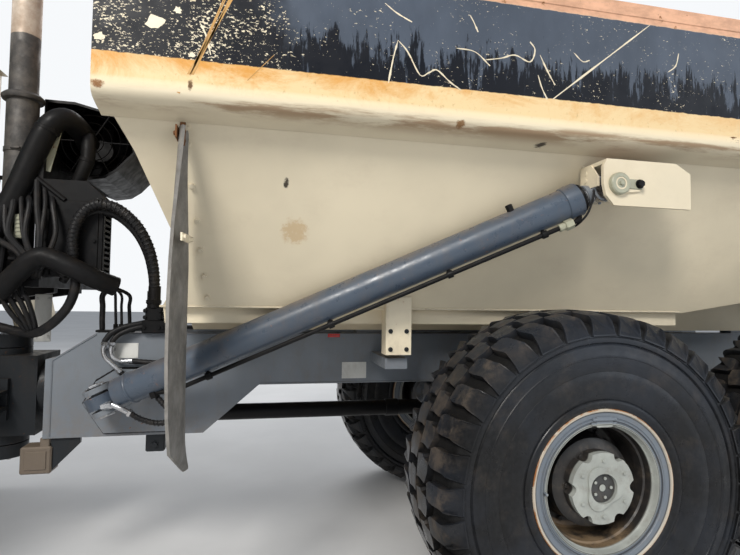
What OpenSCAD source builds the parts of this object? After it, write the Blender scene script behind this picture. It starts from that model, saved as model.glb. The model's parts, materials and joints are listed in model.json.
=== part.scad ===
// Articulated dump truck, six wheels, hinged behind the cab
// X forward, Y to the driver's left, Z up from the ground

/* [Overall] */
// Distance from the front bogie axle forward to the front bumper
nose_reach = 7000; // [6800:10:7200]
// Distance from the front bogie axle back to the lip of the dump body
tail_reach = 3700; // [3600:10:3800]
// Distance from the front bogie axle forward to the steering pivot
pivot_ahead = 3300; // [3280:5:3340]
// Distance from the steering pivot forward to the front axle
axle_ahead = 1300; // [1260:5:1340]
// Distance between the two bogie axles
bogie_spacing = 1950; // [1850:10:2000]
// Distance between the middles of the left and right tyres
track = 2580; // [2540:5:2620]

/* [Wheels] */
// Outer diameter over the lugs
tyre_d = 1750; // [1700:5:1780]
// Width of the tyre at its widest
tyre_w = 675; // [640:5:690]
// Width of the tread
tread_w = 640; // [600:5:650]
// Depth of the lugs
lug_h = 36; // [20:1:45]
// Number of lugs round each shoulder
lug_count = 33; // [24:1:36]
// Diameter of the seat under the tyre's beads
rim_seat_d = 635; // [600:5:640]
// Height of the rim's flanges
flange_h = 76; // [60:1:90]
// Width between the rim's flanges
rim_w = 559; // [520:1:580]
// Diameter of the round hub cover
hub_cover_d = 350; // [320:2:380]
// Diameter of the axle's spindle
spindle_d = 180; // [150:2:200]

/* [Dump body] */
// Half width of the body over its rails
rail_y = 1550; // [1530:5:1570]
// Height of the top of the rails
rail_top = 3370; // [3300:5:3420]
// Height of the lower bend of the rails
rail_low = 2680; // [2640:5:2720]
// Depth of the ledge under the rails
ledge_in = 170; // [120:5:200]
// Half width of the floor
floor_y = 895; // [870:5:905]
// Height of the underside of the floor
floor_z = 1728; // [1720:2:1760]
// Thickness of the side walls
wall_t = 24; // [16:1:30]
// Thickness of the floor
floor_t = 30; // [20:1:40]
// Distance from the front bogie axle forward to the front of the rails
head_ahead = 2385; // [2360:5:2400]
// Slope of the tail chute
chute_slope = 9.5; // [7:0.5:11]
// Distance from the front bogie axle back to the start of the chute
chute_back = 1109; // [1000:10:1200]
// Height of the spill guard above the rails
guard_h = 200; // [100:10:260]

/* [Tipping] */
// Distance from the front bogie axle back to the tipping pins
tip_back = 2400; // [2380:5:2450]
// Height of the tipping pins
tip_z = 1470; // [1450:5:1490]
// Diameter of the tipping pins
tip_pin_d = 100; // [80:2:110]
// Outer diameter of the hoist barrels
hoist_d = 171; // [160:1:180]
// Diameter of the hoist's first stage
sleeve_d = 138; // [130:1:144]
// Diameter of the hoist's rod
hoist_rod_d = 100; // [80:1:110]

/* [Frames] */
// Half width of the rear frame
rear_y = 500; // [480:5:520]
// Width of the rear frame's side members
rear_member = 120; // [100:5:140]
// Height of the top of the rear frame
rear_top = 1566; // [1560:1:1570]
// Height of the underside of the rear frame behind its deep end
rear_low = 1240; // [1220:5:1260]
// Height of the underside of the deep front end
deep_low = 953; // [940:1:970]
// Height of the roll bearing
roll_z = 1180; // [1170:5:1190]
// Diameter of the roll bearing
roll_d = 380; // [340:5:400]
// Half width over the front frame's rails
front_y = 430; // [410:5:440]
// Width of each front rail
front_rail_w = 100; // [80:5:110]
// Underside of the front rails
front_rail_low = 1250; // [1240:5:1270]
// Top of the front rails
front_rail_top = 1500; // [1490:5:1520]

/* [Cab] */
// Half width of the cab
cab_y = 800; // [780:5:820]
// Height of the cab's floor above the front deck
cab_rise = 70; // [60:5:90]
// Height of the cab from its floor to its roof
cab_h = 1660; // [1620:5:1690]
// Length of the cab at its floor
cab_len = 1560; // [1500:10:1600]
// Thickness of the cab's walls and door
cab_t = 60; // [50:1:70]

/* [Hidden] */
$fn = 48;

// Paint and finish
cream = [0.86, 0.82, 0.72];
grey = [0.42, 0.45, 0.48];
pale = [0.72, 0.72, 0.70];
dark = [0.10, 0.10, 0.11];
rubber = [0.07, 0.07, 0.07];
steel = [0.60, 0.61, 0.63];
glass = [0.45, 0.60, 0.65];

// Clearance between faces that seat on each other
seat = 0.3;
// The same clearance measured level, from a slanted side
slope_seat = 1.15 * seat;
// Clearance between pieces that move past each other
run = 6;

// Stations along the truck
bogie_x = (tail_reach - nose_reach) / 2;
nose_x = bogie_x + nose_reach;
tail_x = bogie_x - tail_reach;
pivot_x = bogie_x + pivot_ahead;
front_x = pivot_x + axle_ahead;
rear_x = bogie_x - bogie_spacing;
head_x = bogie_x + head_ahead;
chute_x = bogie_x - chute_back;
tip_x = bogie_x - tip_back;
axle_z = tyre_d / 2;

// A flat outline in X and Z, thickened along Y between y0 and y1
module side_plate(points, y0, y1) {
    translate([0, y1, 0]) rotate([90, 0, 0]) linear_extrude(y1 - y0) polygon(points);
}

// A flat outline in Y and Z, thickened along X between x0 and x1
module cross_plate(points, x0, x1) {
    translate([x0, 0, 0]) rotate([90, 0, 90]) linear_extrude(x1 - x0) polygon(points);
}

// A box given by its low and high corners
module block(low, high) {
    translate(low) cube(high - low);
}

// A round bar along Y between y0 and y1
module bar_y(x, z, d, y0, y1) {
    translate([x, y0, z]) rotate([-90, 0, 0]) cylinder(d = d, h = y1 - y0);
}

// A round bar along X between x0 and x1
module bar_x(y, z, d, x0, x1) {
    translate([x0, y, z]) rotate([0, 90, 0]) cylinder(d = d, h = x1 - x0);
}

// The same piece on the left and on the right
module both_sides() {
    children();
    mirror([0, 1, 0]) children();
}

// Wheels: each is drawn about the origin with its outer face towards +Y
seat_r = rim_seat_d / 2;
flange_r = seat_r + flange_h;
rim_t = 26;
base_r = tyre_d / 2 - lug_h;
bulge_r = (flange_r + base_r) / 2;
shoulder_y = tread_w / 2;

function arc(cx, cy, rx, ry, a0, a1, n) =
    [for (i = [0 : n]) let (a = a0 + (a1 - a0) * i / n) [cx + rx * cos(a), cy + ry * sin(a)]];

module tyre_carcass() {
    side = tyre_w / 2;
    bead = rim_w / 2 - seat;
    rotate([-90, 0, 0]) rotate_extrude($fn = 96) polygon(concat(
        [[seat_r + seat, -bead], [flange_r + 4, -bead]],
        arc(bulge_r, -side + 150, base_r - bulge_r + 12, 150, 218, 322, 8),
        [[base_r, -shoulder_y + 30], [base_r, shoulder_y - 30]],
        arc(bulge_r, side - 150, base_r - bulge_r + 12, 150, 38, 142, 8),
        [[flange_r + 4, bead], [seat_r + seat, bead]]));
}

// Each lug tapers a little towards its top
lug_share = 0.60;
lug_taper = 1.2;

function lug_ring(turn) = [for (i = [0 : lug_count - 1]) let (
        pitch = 360 / lug_count,
        a = turn + i * pitch,
        half = pitch * lug_share / 2)
    each [
        [(base_r - 20) * cos(a - half - lug_taper), (base_r - 20) * sin(a - half - lug_taper)],
        [tyre_d / 2 * cos(a - half), tyre_d / 2 * sin(a - half)],
        [tyre_d / 2 * cos(a + half), tyre_d / 2 * sin(a + half)],
        [(base_r - 20) * cos(a + half + lug_taper), (base_r - 20) * sin(a + half + lug_taper)]
    ]];

// The lugs of one half of the tread, from the middle to the shoulder
module lug_band(y0, y1, turn) {
    translate([0, y1, 0]) rotate([90, 0, 0]) linear_extrude(y1 - y0) difference() {
        polygon(lug_ring(turn));
        circle(r = base_r - 60, $fn = 96);
    }
}

module tyre() {
    half_pitch = 180 / lug_count;
    tyre_carcass();
    intersection() {
        union() {
            lug_band(20, shoulder_y, 0);
            lug_band(-shoulder_y, -20, half_pitch);
        }
        rotate([-90, 0, 0]) rotate_extrude($fn = 96) polygon([
            [base_r - 50, -shoulder_y], [tyre_d / 2 - 22, -shoulder_y],
            [tyre_d / 2, -shoulder_y + 45], [tyre_d / 2, shoulder_y - 45],
            [tyre_d / 2 - 22, shoulder_y], [base_r - 50, shoulder_y]]);
    }
}

// Depths along the wheel's axis, from the middle of the tyre outwards
disc_y = -20;
disc_t = 40;
hub_face = 292;
hub_back = -345;
hub_r = 205;
cover_h = 95;

module wheel() {
    half = rim_w / 2;
    rotate([-90, 0, 0]) difference() {
        rotate_extrude($fn = 96) polygon([
            [spindle_d / 2 + seat, hub_back], [hub_r - 15, hub_back], [hub_r, hub_back + 15],
            [hub_r, disc_y], [seat_r - rim_t - 40, disc_y], [seat_r - rim_t, disc_y - 60],
            [seat_r - rim_t, -half - 26],
            [flange_r - 8, -half - 26], [flange_r, -half - 18], [flange_r, -half - 4],
            [flange_r - 8, -half], [seat_r, -half], [seat_r, half],
            [flange_r - 8, half], [flange_r, half + 4], [flange_r, half + 18],
            [flange_r - 8, half + 26], [seat_r + 20, half + 26], [seat_r + 8, half - 6],
            [seat_r - rim_t + 10, half - 6], [seat_r - rim_t + 10, half - 60],
            [seat_r - rim_t - 12, half - 70], [seat_r - rim_t - 12, half - 120],
            [seat_r - rim_t, half - 130], [seat_r - rim_t, disc_y + disc_t + 40],
            [seat_r - rim_t - 40, disc_y + disc_t], [hub_r + 25, disc_y + disc_t],
            [hub_r + 25, hub_face - cover_h], [hub_cover_d / 2 + 12, hub_face - cover_h + 15],
            [hub_cover_d / 2, hub_face - cover_h + 20],
            [hub_cover_d / 2, hub_face - 10], [hub_cover_d / 2 - 10, hub_face],
            [0, hub_face], [0, -90], [spindle_d / 2 + seat, -90]]);
        for (i = [0 : 11]) rotate(30 * i) translate([hub_cover_d / 2, 0, hub_face - 30])
            cylinder(d = 26, h = 60, $fn = 24);
    }
}

// One row for each wheel: the station and the side, +1 for the left
wheel_table = [
    ["front_left", front_x, 1], ["front_right", front_x, -1],
    ["mid_left", bogie_x, 1], ["mid_right", bogie_x, -1],
    ["rear_left", rear_x, 1], ["rear_right", rear_x, -1]];

module at_wheel(row) {
    translate([wheel_table[row][1], wheel_table[row][2] * track / 2, axle_z])
        mirror([0, wheel_table[row][2] < 0 ? 1 : 0, 0]) children();
}

module tyre_front_left() { color(rubber) at_wheel(0) tyre(); }
module tyre_front_right() { color(rubber) at_wheel(1) tyre(); }
module tyre_mid_left() { color(rubber) at_wheel(2) tyre(); }
module tyre_mid_right() { color(rubber) at_wheel(3) tyre(); }
module tyre_rear_left() { color(rubber) at_wheel(4) tyre(); }
module tyre_rear_right() { color(rubber) at_wheel(5) tyre(); }
module wheel_front_left() { color(pale) at_wheel(0) wheel(); }
module wheel_front_right() { color(pale) at_wheel(1) wheel(); }
module wheel_mid_left() { color(pale) at_wheel(2) wheel(); }
module wheel_mid_right() { color(pale) at_wheel(3) wheel(); }
module wheel_rear_left() { color(pale) at_wheel(4) wheel(); }
module wheel_rear_right() { color(pale) at_wheel(5) wheel(); }

// An axle's housing with its differential and its two spindles
spindle_end = track / 2 - 92;
brake_y = track / 2 + hub_back - run;

module axle_housing(x) {
    bar_y(x, axle_z, 260, -brake_y + 90, brake_y - 90);
    both_sides() {
        bar_y(x, axle_z, 430, brake_y - 95, brake_y);
        bar_y(x, axle_z, spindle_d, brake_y - 5, spindle_end);
    }
    translate([x, 0, axle_z]) rotate([-90, 0, 0])
        rotate_extrude($fn = 64) polygon([[0, -230], [150, -230], [230, -150],
            [230, 150], [150, 230], [0, 230]]);
}

// The dump body: a cross-section run along X, cut to a side outline
chute_rise = (chute_x - tail_x) * tan(chute_slope);
head_fold_x = head_x - 335;
head_fold_z = 1960;
head_toe_x = head_x - 195;
tail_top_x = tail_x + 1250;
tail_corner_x = tail_x + 230;
tail_corner_z = rail_top - 430;

function side_outline(t, tf) = [
    [head_toe_x - t, floor_z + tf], [head_fold_x - t, head_fold_z],
    [head_x - 125 - t, rail_low - 220], [head_x - t, rail_low], [head_x - t, rail_top],
    [tail_top_x, rail_top], [tail_corner_x, tail_corner_z],
    [tail_x, floor_z + chute_rise + tf], [chute_x, floor_z + tf]];

function half_section(t, tf) = [
    [floor_y - t, floor_z + tf], [rail_y - ledge_in - t, rail_low - 90],
    [rail_y - 50 - t, rail_low - 30], [rail_y - t, rail_low + 20], [rail_y - t, rail_top]];

function mirrored(points) = concat(points,
    [for (i = [len(points) - 1 : -1 : 0]) [-points[i][0], points[i][1]]]);

module body_form(t, tf) {
    reach = 40;
    intersection() {
        side_plate(side_outline(t, tf), -rail_y - reach, rail_y + reach);
        cross_plate(mirrored(half_section(t, tf)), tail_x - reach, head_x + reach);
    }
}

// The space inside the body, open at its top and at its tail
module body_space() {
    up = 400;
    back = 400;
    side = side_outline(wall_t, floor_t);
    section = half_section(wall_t, floor_t);
    open_side = concat([for (i = [0 : 4]) side[i]],
        [[head_x - wall_t, rail_top + up], [tail_x - back, rail_top + up],
        [tail_x - back, side[7][1] + back * tan(chute_slope)]], [side[8]]);
    open_section = mirrored(concat(section, [[rail_y - wall_t, rail_top + up]]));
    intersection() {
        side_plate(open_side, -rail_y, rail_y);
        cross_plate(open_section, tail_x - back, head_x);
    }
}

// Flange under the edge of the floor, clear of the hoist barrels
flange_y = floor_y - 50;

// Sills under the floor, over the rear frame's side members
sill_w = 110;
sill_y = rear_y - 20;
pad_h = 20;
sill_low = rear_top + pad_h;
chute_grade = tan(chute_slope);

function under_floor(x) = floor_z + max(0, chute_x - x) * chute_grade;

// Hinge ears under the tail, with bores for the tipping pins
ear_t = 60;
ear_y0 = rear_y + run + 2;
ear_y1 = ear_y0 + ear_t;

module tip_ears() {
    both_sides() difference() {
        union() {
            side_plate([[tip_x - 250, under_floor(tip_x - 250) + 8], [tip_x - 90, tip_z],
                [tip_x + 90, tip_z], [tip_x + 330, under_floor(tip_x + 330) + 8]], ear_y0, ear_y1);
            bar_y(tip_x, tip_z, tip_pin_d + 100, ear_y0, ear_y1);
        }
        bar_y(tip_x, tip_z, tip_pin_d + 2 * seat, ear_y0 - 1, ear_y1 + 1);
    }
}

// The hoist's two ends: its lower ball on the rear frame and its upper eye on the body
hoist_low = [bogie_x + 2520, 700, 1205];
hoist_high = [bogie_x - 116, 1400, 2401];
hoist_reach = hoist_high - hoist_low;
hoist_len = norm(hoist_reach);
hoist_yaw = atan2(hoist_reach[1], hoist_reach[0]);
hoist_pitch = -asin(hoist_reach[2] / hoist_len);
hoist_rise = atan2(hoist_reach[2], -hoist_reach[0]);
eye_half = 45;
eye_r = 72;
bracket_room = 85;
bracket_t = 20;
bracket_y = hoist_high[1] + eye_half + bracket_room;
bracket_x0 = hoist_high[0] - 440;
bracket_x1 = hoist_high[0] + 86;
bracket_top = hoist_high[2] + 129;
bracket_low = hoist_high[2] - 111;

function side_y(z) = floor_y + (z - floor_z) / (rail_low - 90 - floor_z) * (rail_y - ledge_in - floor_y);

// The channel that holds the hoist's upper eye: a plate bent over from the body's side
module hoist_bracket() {
    side_plate([[bracket_x0, bracket_low], [bracket_x1 - 60, bracket_low],
        [bracket_x1 - 14, bracket_low + 50], [bracket_x1, bracket_low + 110],
        [bracket_x1, bracket_top - 40], [bracket_x1 - 20, bracket_top],
        [bracket_x0 + 90, bracket_top], [bracket_x0, bracket_top - 50]],
        bracket_y, bracket_y + bracket_t);
    block([bracket_x0 + 90, side_y(bracket_top) - 20, bracket_top - bracket_t],
        [bracket_x1 - 20, bracket_y + 1, bracket_top]);
    difference() {
        bar_y(hoist_high[0], hoist_high[2], 104, bracket_y + bracket_t - 1,
            bracket_y + bracket_t + 24);
        bar_y(hoist_high[0], hoist_high[2], 50, bracket_y + bracket_t + 14,
            bracket_y + bracket_t + 30);
    }
    side_plate([[hoist_high[0] - 120, hoist_high[2] - 34], [hoist_high[0], hoist_high[2] - 50],
        [hoist_high[0], hoist_high[2] + 50], [hoist_high[0] - 120, hoist_high[2] + 34]],
        bracket_y + bracket_t - 1, bracket_y + bracket_t + 12);
    bar_y(hoist_high[0], hoist_high[2], 90, side_y(hoist_high[2]) - 20,
        hoist_high[1] - eye_half - 26);
}

module dump_body() {
    color(cream) difference() {
        union() {
            body_form(0, 0);
            // spill guard above the front wall
            cross_plate([[-1300, rail_top - 1], [1300, rail_top - 1], [1180, rail_top + guard_h],
                [-1180, rail_top + guard_h]], head_x - 60, head_x);
            tip_ears();
            both_sides() {
                // flange along the bottom edge, and the sill
                side_plate([[head_toe_x, floor_z + 1], [head_toe_x - 10, floor_z - 85],
                    [chute_x, floor_z - 85], [chute_x, floor_z + 1]], flange_y - 40, flange_y);
                side_plate([[head_toe_x - 60, floor_z + 5], [head_toe_x - 120, sill_low],
                    [tip_x - 150, sill_low], [tip_x - 150, under_floor(tip_x - 150) + 5],
                    [chute_x, floor_z + 5]], sill_y - sill_w, sill_y);
                hoist_bracket();
            }
        }
        body_space();
    }
}

// Channel posts on the flange that come down on the frame's outriggers
guide_x = bogie_x + 880;
guide_half = 76;
guide_out = 950;
guide_t = 10;
guide_low = 1468;
guide_top = 1804;

module body_guides() {
    color(cream) both_sides() {
        block([guide_x - guide_half, guide_out - guide_t, guide_low],
            [guide_x + guide_half, guide_out, guide_top]);
        for (x = [guide_x - guide_half, guide_x + guide_half - guide_t])
            cross_plate([[flange_y + seat, guide_low], [guide_out - 1, guide_low], [guide_out - 1, guide_top],
                [side_y(guide_top) + slope_seat, guide_top], [floor_y + slope_seat, floor_z - seat],
                [flange_y + seat, floor_z - seat]], x, x + guide_t);
    }
}

// Flaps hung across the gap between the front wheels and the body
flap_x = head_fold_x - 10;

module mud_flaps() {
    color(grey) both_sides()
        cross_plate([[1120, 920], [1500, 1160], [1500, 2560], [side_y(2560) + 1.5 * seat, 2560],
            [side_y(1740) + 1.5 * seat, 1740], [1000, 1500], [1000, 920]], flap_x - 12, flap_x);
}

// Rear frame: two deep side members joined by a bearing block and cross members
frame_front_x = bogie_x + 2885;
frame_end_x = tip_x;
bearing_back_x = bogie_x + 2640;
bogie_mid_x = bogie_x - bogie_spacing / 2;
trunnion_z = 1010;
shaft_z = 970;
shaft_d = 112;

module side_member() {
    inner = rear_y - rear_member;
    side_plate([[frame_front_x, deep_low], [frame_front_x, 1410], [frame_front_x - 61, 1423],
        [frame_front_x - 270, rear_top], [frame_end_x, rear_top], [frame_end_x, tip_z - 100],
        [frame_end_x + 160, rear_low], [bogie_mid_x - 260, rear_low],
        [bogie_mid_x - 120, trunnion_z - 100], [bogie_mid_x + 120, trunnion_z - 100],
        [bogie_mid_x + 260, rear_low], [frame_front_x - 1220, rear_low],
        [frame_front_x - 890, deep_low]], inner, rear_y);
    bar_y(tip_x, tip_z, 192, inner, rear_y);
    bar_y(tip_x, tip_z, tip_pin_d, inner, ear_y1 + 4);
}

// Lugs, pin and ball that hold the foot of a hoist barrel
ball_r = 60;
foot_half = 35;
lug_room = 14;
lug_t = 30;

module hoist_foot() {
    translate(hoist_low) rotate([0, hoist_rise, 0]) {
        both_lugs = foot_half + lug_room;
        for (s = [-1, 1]) translate([0, 0, s * (both_lugs + lug_t / 2) - lug_t / 2]) {
            cylinder(r = 75, h = lug_t);
            translate([-75, rear_y + 20 - hoist_low[1], 0]) cube([150, hoist_low[1] - rear_y - 20, lug_t]);
        }
        cylinder(d = 76, h = 2 * (both_lugs + lug_t) + 16, center = true);
        intersection() {
            sphere(r = ball_r);
            cube([200, 200, 88], center = true);
        }
    }
    side_plate([[frame_front_x - 215, 1150], [frame_front_x - 280, 1280], [frame_front_x - 390, 1350],
        [frame_front_x - 560, 1350], [frame_front_x - 740, 1190], [frame_front_x - 740, deep_low + 25],
        [frame_front_x - 330, deep_low + 25]], rear_y - 1, rear_y + 24);
}

module rear_frame() {
    inner = rear_y - rear_member;
    color(grey) difference() {
        union() {
            both_sides() {
                side_member();
                hoist_foot();
                for (x = [bogie_x + 1950 : -1000 : bogie_x - 2050])
                    block([x - 90, sill_y - 100, rear_top - 1], [x + 90, sill_y, sill_low - seat]);
            }
            block([bearing_back_x, -inner - 1, deep_low], [frame_front_x, inner + 1, 1410]);
            block([bogie_x + 2440, -inner - 1, deep_low], [bogie_x + 2520, inner + 1, 1090]);
            for (x = [bogie_x + 1500, bogie_x, bogie_mid_x, tip_x + 120])
                block([x - 70, -inner - 1, rear_low + 60], [x + 70, inner + 1, rear_top - 60]);
            // outriggers under the body's posts
            both_sides() block([guide_x - guide_half + 8, rear_y - 1, guide_low - 87],
                [guide_x + guide_half - 10, guide_out - 50, guide_low - 24]);
            // towing lug at the tail
            block([tip_x - 160, -110, rear_low + 90], [tip_x + 60, 110, rear_low + 150]);
        }
        bar_x(0, roll_z, roll_d + 2 * seat, bearing_back_x - 1, frame_front_x + 1);
        translate([tip_x - 90, 0, rear_low + 80]) cylinder(r = 30, h = 80);
    }
}

// Two bogie axles with the beams that join them at each side
module bogie_axles() {
    color(grey) {
        axle_housing(bogie_x);
        axle_housing(rear_x);
        for (x = [bogie_x + 140, bogie_x - 300, rear_x + 140])
            bar_x(0, shaft_z, 200, x, x + 160);
        both_sides() {
            side_plate([[bogie_x + 170, axle_z - 90], [bogie_x + 170, axle_z + 90],
                [bogie_mid_x + 180, trunnion_z + 130], [bogie_mid_x - 180, trunnion_z + 130],
                [rear_x - 170, axle_z + 90], [rear_x - 170, axle_z - 90],
                [bogie_mid_x - 180, trunnion_z - 110], [bogie_mid_x + 180, trunnion_z - 110]],
                rear_y + 140, rear_y + 260);
            bar_y(bogie_mid_x, trunnion_z, 180, rear_y + seat, rear_y + 290);
        }
    }
}

module driveshafts() {
    color(dark) {
        bar_x(0, shaft_z, shaft_d, bogie_x + 300 + seat, bogie_x + 2440 - seat);
        bar_x(0, shaft_z, 170, bogie_x + 300 + seat, bogie_x + 340);
        bar_x(0, shaft_z, 170, bogie_x + 2400, bogie_x + 2440 - seat);
        bar_x(0, shaft_z, shaft_d, rear_x + 300 + seat, bogie_x - 300 - seat);
    }
}

// Hitch: it turns about the pivot's pin, and the rear frame rolls on its tube
pin_d = 120;
boss_r = 150;
hitch_low = 830;
hitch_top = 1440;
steer_y = 300;
steer_z = 1130;
steer_back = [pivot_x - 30, steer_y];
steer_fore = [pivot_x + 900, steer_y];
steer_eye_r = 52;
steer_eye_half = 32;

module steer_lugs(x0, x1, y0, y1) {
    for (z = [steer_z + steer_eye_half + run, steer_z - steer_eye_half - run - 24])
        block([x0, y0, z], [x1, y1, z + 24]);
}

module hitch() {
    color(grey) difference() {
        union() {
            translate([pivot_x, 0, hitch_low]) cylinder(r = boss_r, h = hitch_top - hitch_low);
            block([pivot_x - 260, -190, 900], [pivot_x - 40, 190, 1400]);
            bar_x(0, roll_z, roll_d, bearing_back_x - run, pivot_x - 200);
            bar_x(0, roll_z, roll_d + 50, bearing_back_x - run - 36, bearing_back_x - run);
            bar_x(0, roll_z, roll_d + 60, frame_front_x + run, frame_front_x + run + 40);
            both_sides() {
                steer_lugs(steer_back[0] - 80, steer_back[0] + 60, 140, steer_y + 60);
                block([steer_back[0] - 80, 100, 1000], [steer_back[0] + 60, steer_y - 75, 1260]);
            }
        }
        translate([pivot_x, 0, hitch_low - 1]) cylinder(d = pin_d + 2 * seat, h = hitch_top - hitch_low + 2);
    }
}

// Steering cylinders lie between the front frame and the hitch
steer_len = steer_fore[0] - steer_back[0];
steer_d = 110;
steer_rod_d = 60;
// Distances from the front pin to the end of the barrel and to the inner end of the rod
steer_gland = 615;
steer_inner = 315;

module steer_barrel(side) {
    translate([steer_fore[0], side * steer_fore[1], steer_z]) difference() {
        union() {
            translate([0, 0, -steer_eye_half]) cylinder(r = steer_eye_r, h = 2 * steer_eye_half);
            rotate([0, -90, 0]) translate([0, 0, 45]) cylinder(d = 70, h = 30);
            rotate([0, -90, 0]) translate([0, 0, 70]) cylinder(d = steer_d, h = steer_gland - 80);
            rotate([0, -90, 0]) translate([0, 0, steer_gland - 50]) cylinder(d = steer_d + 14, h = 50);
        }
        translate([0, 0, -100]) cylinder(d = 56 + 2 * seat, h = 200);
        rotate([0, -90, 0]) translate([0, 0, 90]) cylinder(d = steer_rod_d + 2 * seat, h = steer_gland);
    }
}

module steer_rod(side) {
    translate([steer_back[0], side * steer_back[1], steer_z]) {
        translate([0, 0, -steer_eye_half]) cylinder(r = steer_eye_r, h = 2 * steer_eye_half);
        rotate([0, 90, 0]) translate([0, 0, 30]) cylinder(d = steer_rod_d, h = steer_len - 30 - steer_inner);
    }
}

module steer_barrel_left() { color(grey) steer_barrel(1); }
module steer_barrel_right() { color(grey) steer_barrel(-1); }
module steer_rod_left() { color(steel) steer_rod(1); }
module steer_rod_right() { color(steel) steer_rod(-1); }

// Hoist cylinders, drawn along their own axis from the ball at the foot
barrel_end = hoist_len - 130;

module along_hoist() {
    translate(hoist_low) rotate([0, hoist_pitch, hoist_yaw]) rotate([0, 90, 0]) children();
}

module hoist_barrel() {
    difference() {
        union() {
            translate(hoist_low) rotate([0, hoist_rise, 0])
                cylinder(r = 86, h = 2 * foot_half, center = true);
            along_hoist() translate([0, 0, 62]) cylinder(r = 34, h = 50);
            along_hoist() translate([0, 0, 100]) cylinder(d = hoist_d, h = barrel_end - 100);
            along_hoist() translate([0, 0, barrel_end - 60]) cylinder(d = hoist_d + 12, h = 60);
        }
        translate(hoist_low) rotate([0, hoist_rise, 0])
            cylinder(r = ball_r + seat, h = 200, center = true);
        along_hoist() translate([0, 0, 140]) cylinder(d = sleeve_d + 2 * seat, h = hoist_len);
    }
}

module hoist_sleeve() {
    along_hoist() difference() {
        union() {
            translate([0, 0, 200]) cylinder(d = sleeve_d, h = barrel_end + 22 - 200);
            translate([0, 0, barrel_end + 6]) cylinder(d = sleeve_d + 14, h = 16);
        }
        translate([0, 0, 100]) cylinder(d = hoist_rod_d + 2 * seat, h = hoist_len);
    }
}

module hoist_rod() {
    along_hoist() translate([0, 0, 300]) cylinder(d = hoist_rod_d, h = hoist_len - 300 - 30);
    bar_y(hoist_high[0], hoist_high[2], 2 * eye_r, hoist_high[1] - eye_half, hoist_high[1] + eye_half);
}

module hoist_barrel_left() { color(grey) hoist_barrel(); }
module hoist_barrel_right() { color(grey) mirror([0, 1, 0]) hoist_barrel(); }
module hoist_sleeve_left() { color(steel) hoist_sleeve(); }
module hoist_sleeve_right() { color(steel) mirror([0, 1, 0]) hoist_sleeve(); }
module hoist_rod_left() { color(steel) hoist_rod(); }
module hoist_rod_right() { color(steel) mirror([0, 1, 0]) hoist_rod(); }

// Front frame: rails, a torque box with the pivot's ears, and the steering brackets
torque_x0 = pivot_x + 440;
torque_x1 = pivot_x + 700;
ear_low = 740;
ear_high = 1530;
rail_in = front_y - front_rail_w;
torque_y = 210;

module front_frame() {
    color(grey) {
        both_sides() {
            block([torque_x0, rail_in - 1, front_rail_low], [nose_x - 120, front_y, front_rail_top]);
            steer_lugs(steer_fore[0] - 60, steer_fore[0] + 120, steer_y - 55, rail_in + 70);
            block([steer_fore[0] + 62, steer_y - 55, steer_z - steer_eye_half - run - 24],
                [steer_fore[0] + 120, rail_in + 70, front_rail_low + 1]);
            translate([steer_fore[0], steer_fore[1], steer_z - 62]) cylinder(d = 56, h = 124);
        }
        block([torque_x0, -torque_y, ear_low], [torque_x1, torque_y, front_rail_low + 1]);
        block([torque_x0, -rail_in, front_rail_low], [torque_x1, rail_in, ear_high]);
        for (z = [ear_low, hitch_top + run]) {
            block([pivot_x, -boss_r, z], [torque_x0 + 1, boss_r, z + 84]);
            translate([pivot_x, 0, z]) cylinder(r = boss_r, h = 84);
        }
        translate([pivot_x, 0, ear_low]) cylinder(d = pin_d, h = ear_high - ear_low);
        for (x = [front_x + 900, nose_x - 220])
            block([x, -rail_in - 1, front_rail_low + 30], [x + 100, rail_in + 1, front_rail_top - 60]);
        both_sides() {
            // plates that carry the bumper, and the hood's hinge lugs
            block([nose_x - 320, rail_in, 800], [nose_x - 120, front_y, front_rail_low + 1]);
            for (y = [hinge_y - 32, hinge_y + 20])
                side_plate([[hood_hinge_x - 30, front_rail_top - 1],
                    [hood_hinge_x + 30, front_rail_top - 1],
                    [hood_hinge_x + 22, hood_hinge_z + 22],
                    [hood_hinge_x - 22, hood_hinge_z + 22]], y, y + 12);
            bar_y(hood_hinge_x, hood_hinge_z, 36, hinge_y - 32, hinge_y + 32);
        }
        // posts under the cab's deck
        for (x = [torque_x0 + 60, front_x + 560]) both_sides()
            block([x, rail_in, front_rail_top - 1], [x + 100, front_y, deck_low - seat]);
    }
}

module front_axle() {
    color(grey) {
        axle_housing(front_x);
        both_sides() translate([front_x, front_y - 50, axle_z])
            cylinder(d = 110, h = front_rail_low - seat - axle_z);
        bar_x(0, axle_z, 180, front_x - 330, front_x);
    }
}

module engine_block() {
    color(dark) {
        block([cab_x1 + 40, -400, front_rail_top + seat], [nose_x - 620, 400, 2180]);
        block([front_x - 250, -270, 1180], [front_x + 880, 270, 1640]);
    }
}

// Deck, front fenders and the steps' platforms
deck_gap = 100;
deck_low = tyre_d + deck_gap;
deck_t = 40;
deck_top = deck_low + deck_t;
deck_x0 = pivot_x + 340;
deck_x1 = front_x + 700;
fender_out = track / 2 + tyre_w / 2 - 20;
hood_y = 790;
fender_gap = 85;
fender_t = 40;
fender_low = 1200;
fender_bend = deck_low - 350;
arch_x1 = front_x + tyre_d / 2 + fender_gap;

module fenders() {
    color(cream) {
        block([deck_x0, -hood_y - 30, deck_low], [deck_x1, hood_y + 30, deck_top]);
        both_sides() side_plate([[deck_x0 - 90, fender_bend], [deck_x0 - 50, fender_bend],
            [deck_x0 + fender_t, deck_low], [deck_x1 - fender_t, deck_low],
            [arch_x1 - 20, fender_bend - 20], [arch_x1, fender_low],
            [arch_x1 + fender_t, fender_low], [arch_x1 + 20, fender_bend],
            [deck_x1, deck_top], [deck_x0, deck_top]],
            hood_y + 29, fender_out);
    }
}

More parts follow.
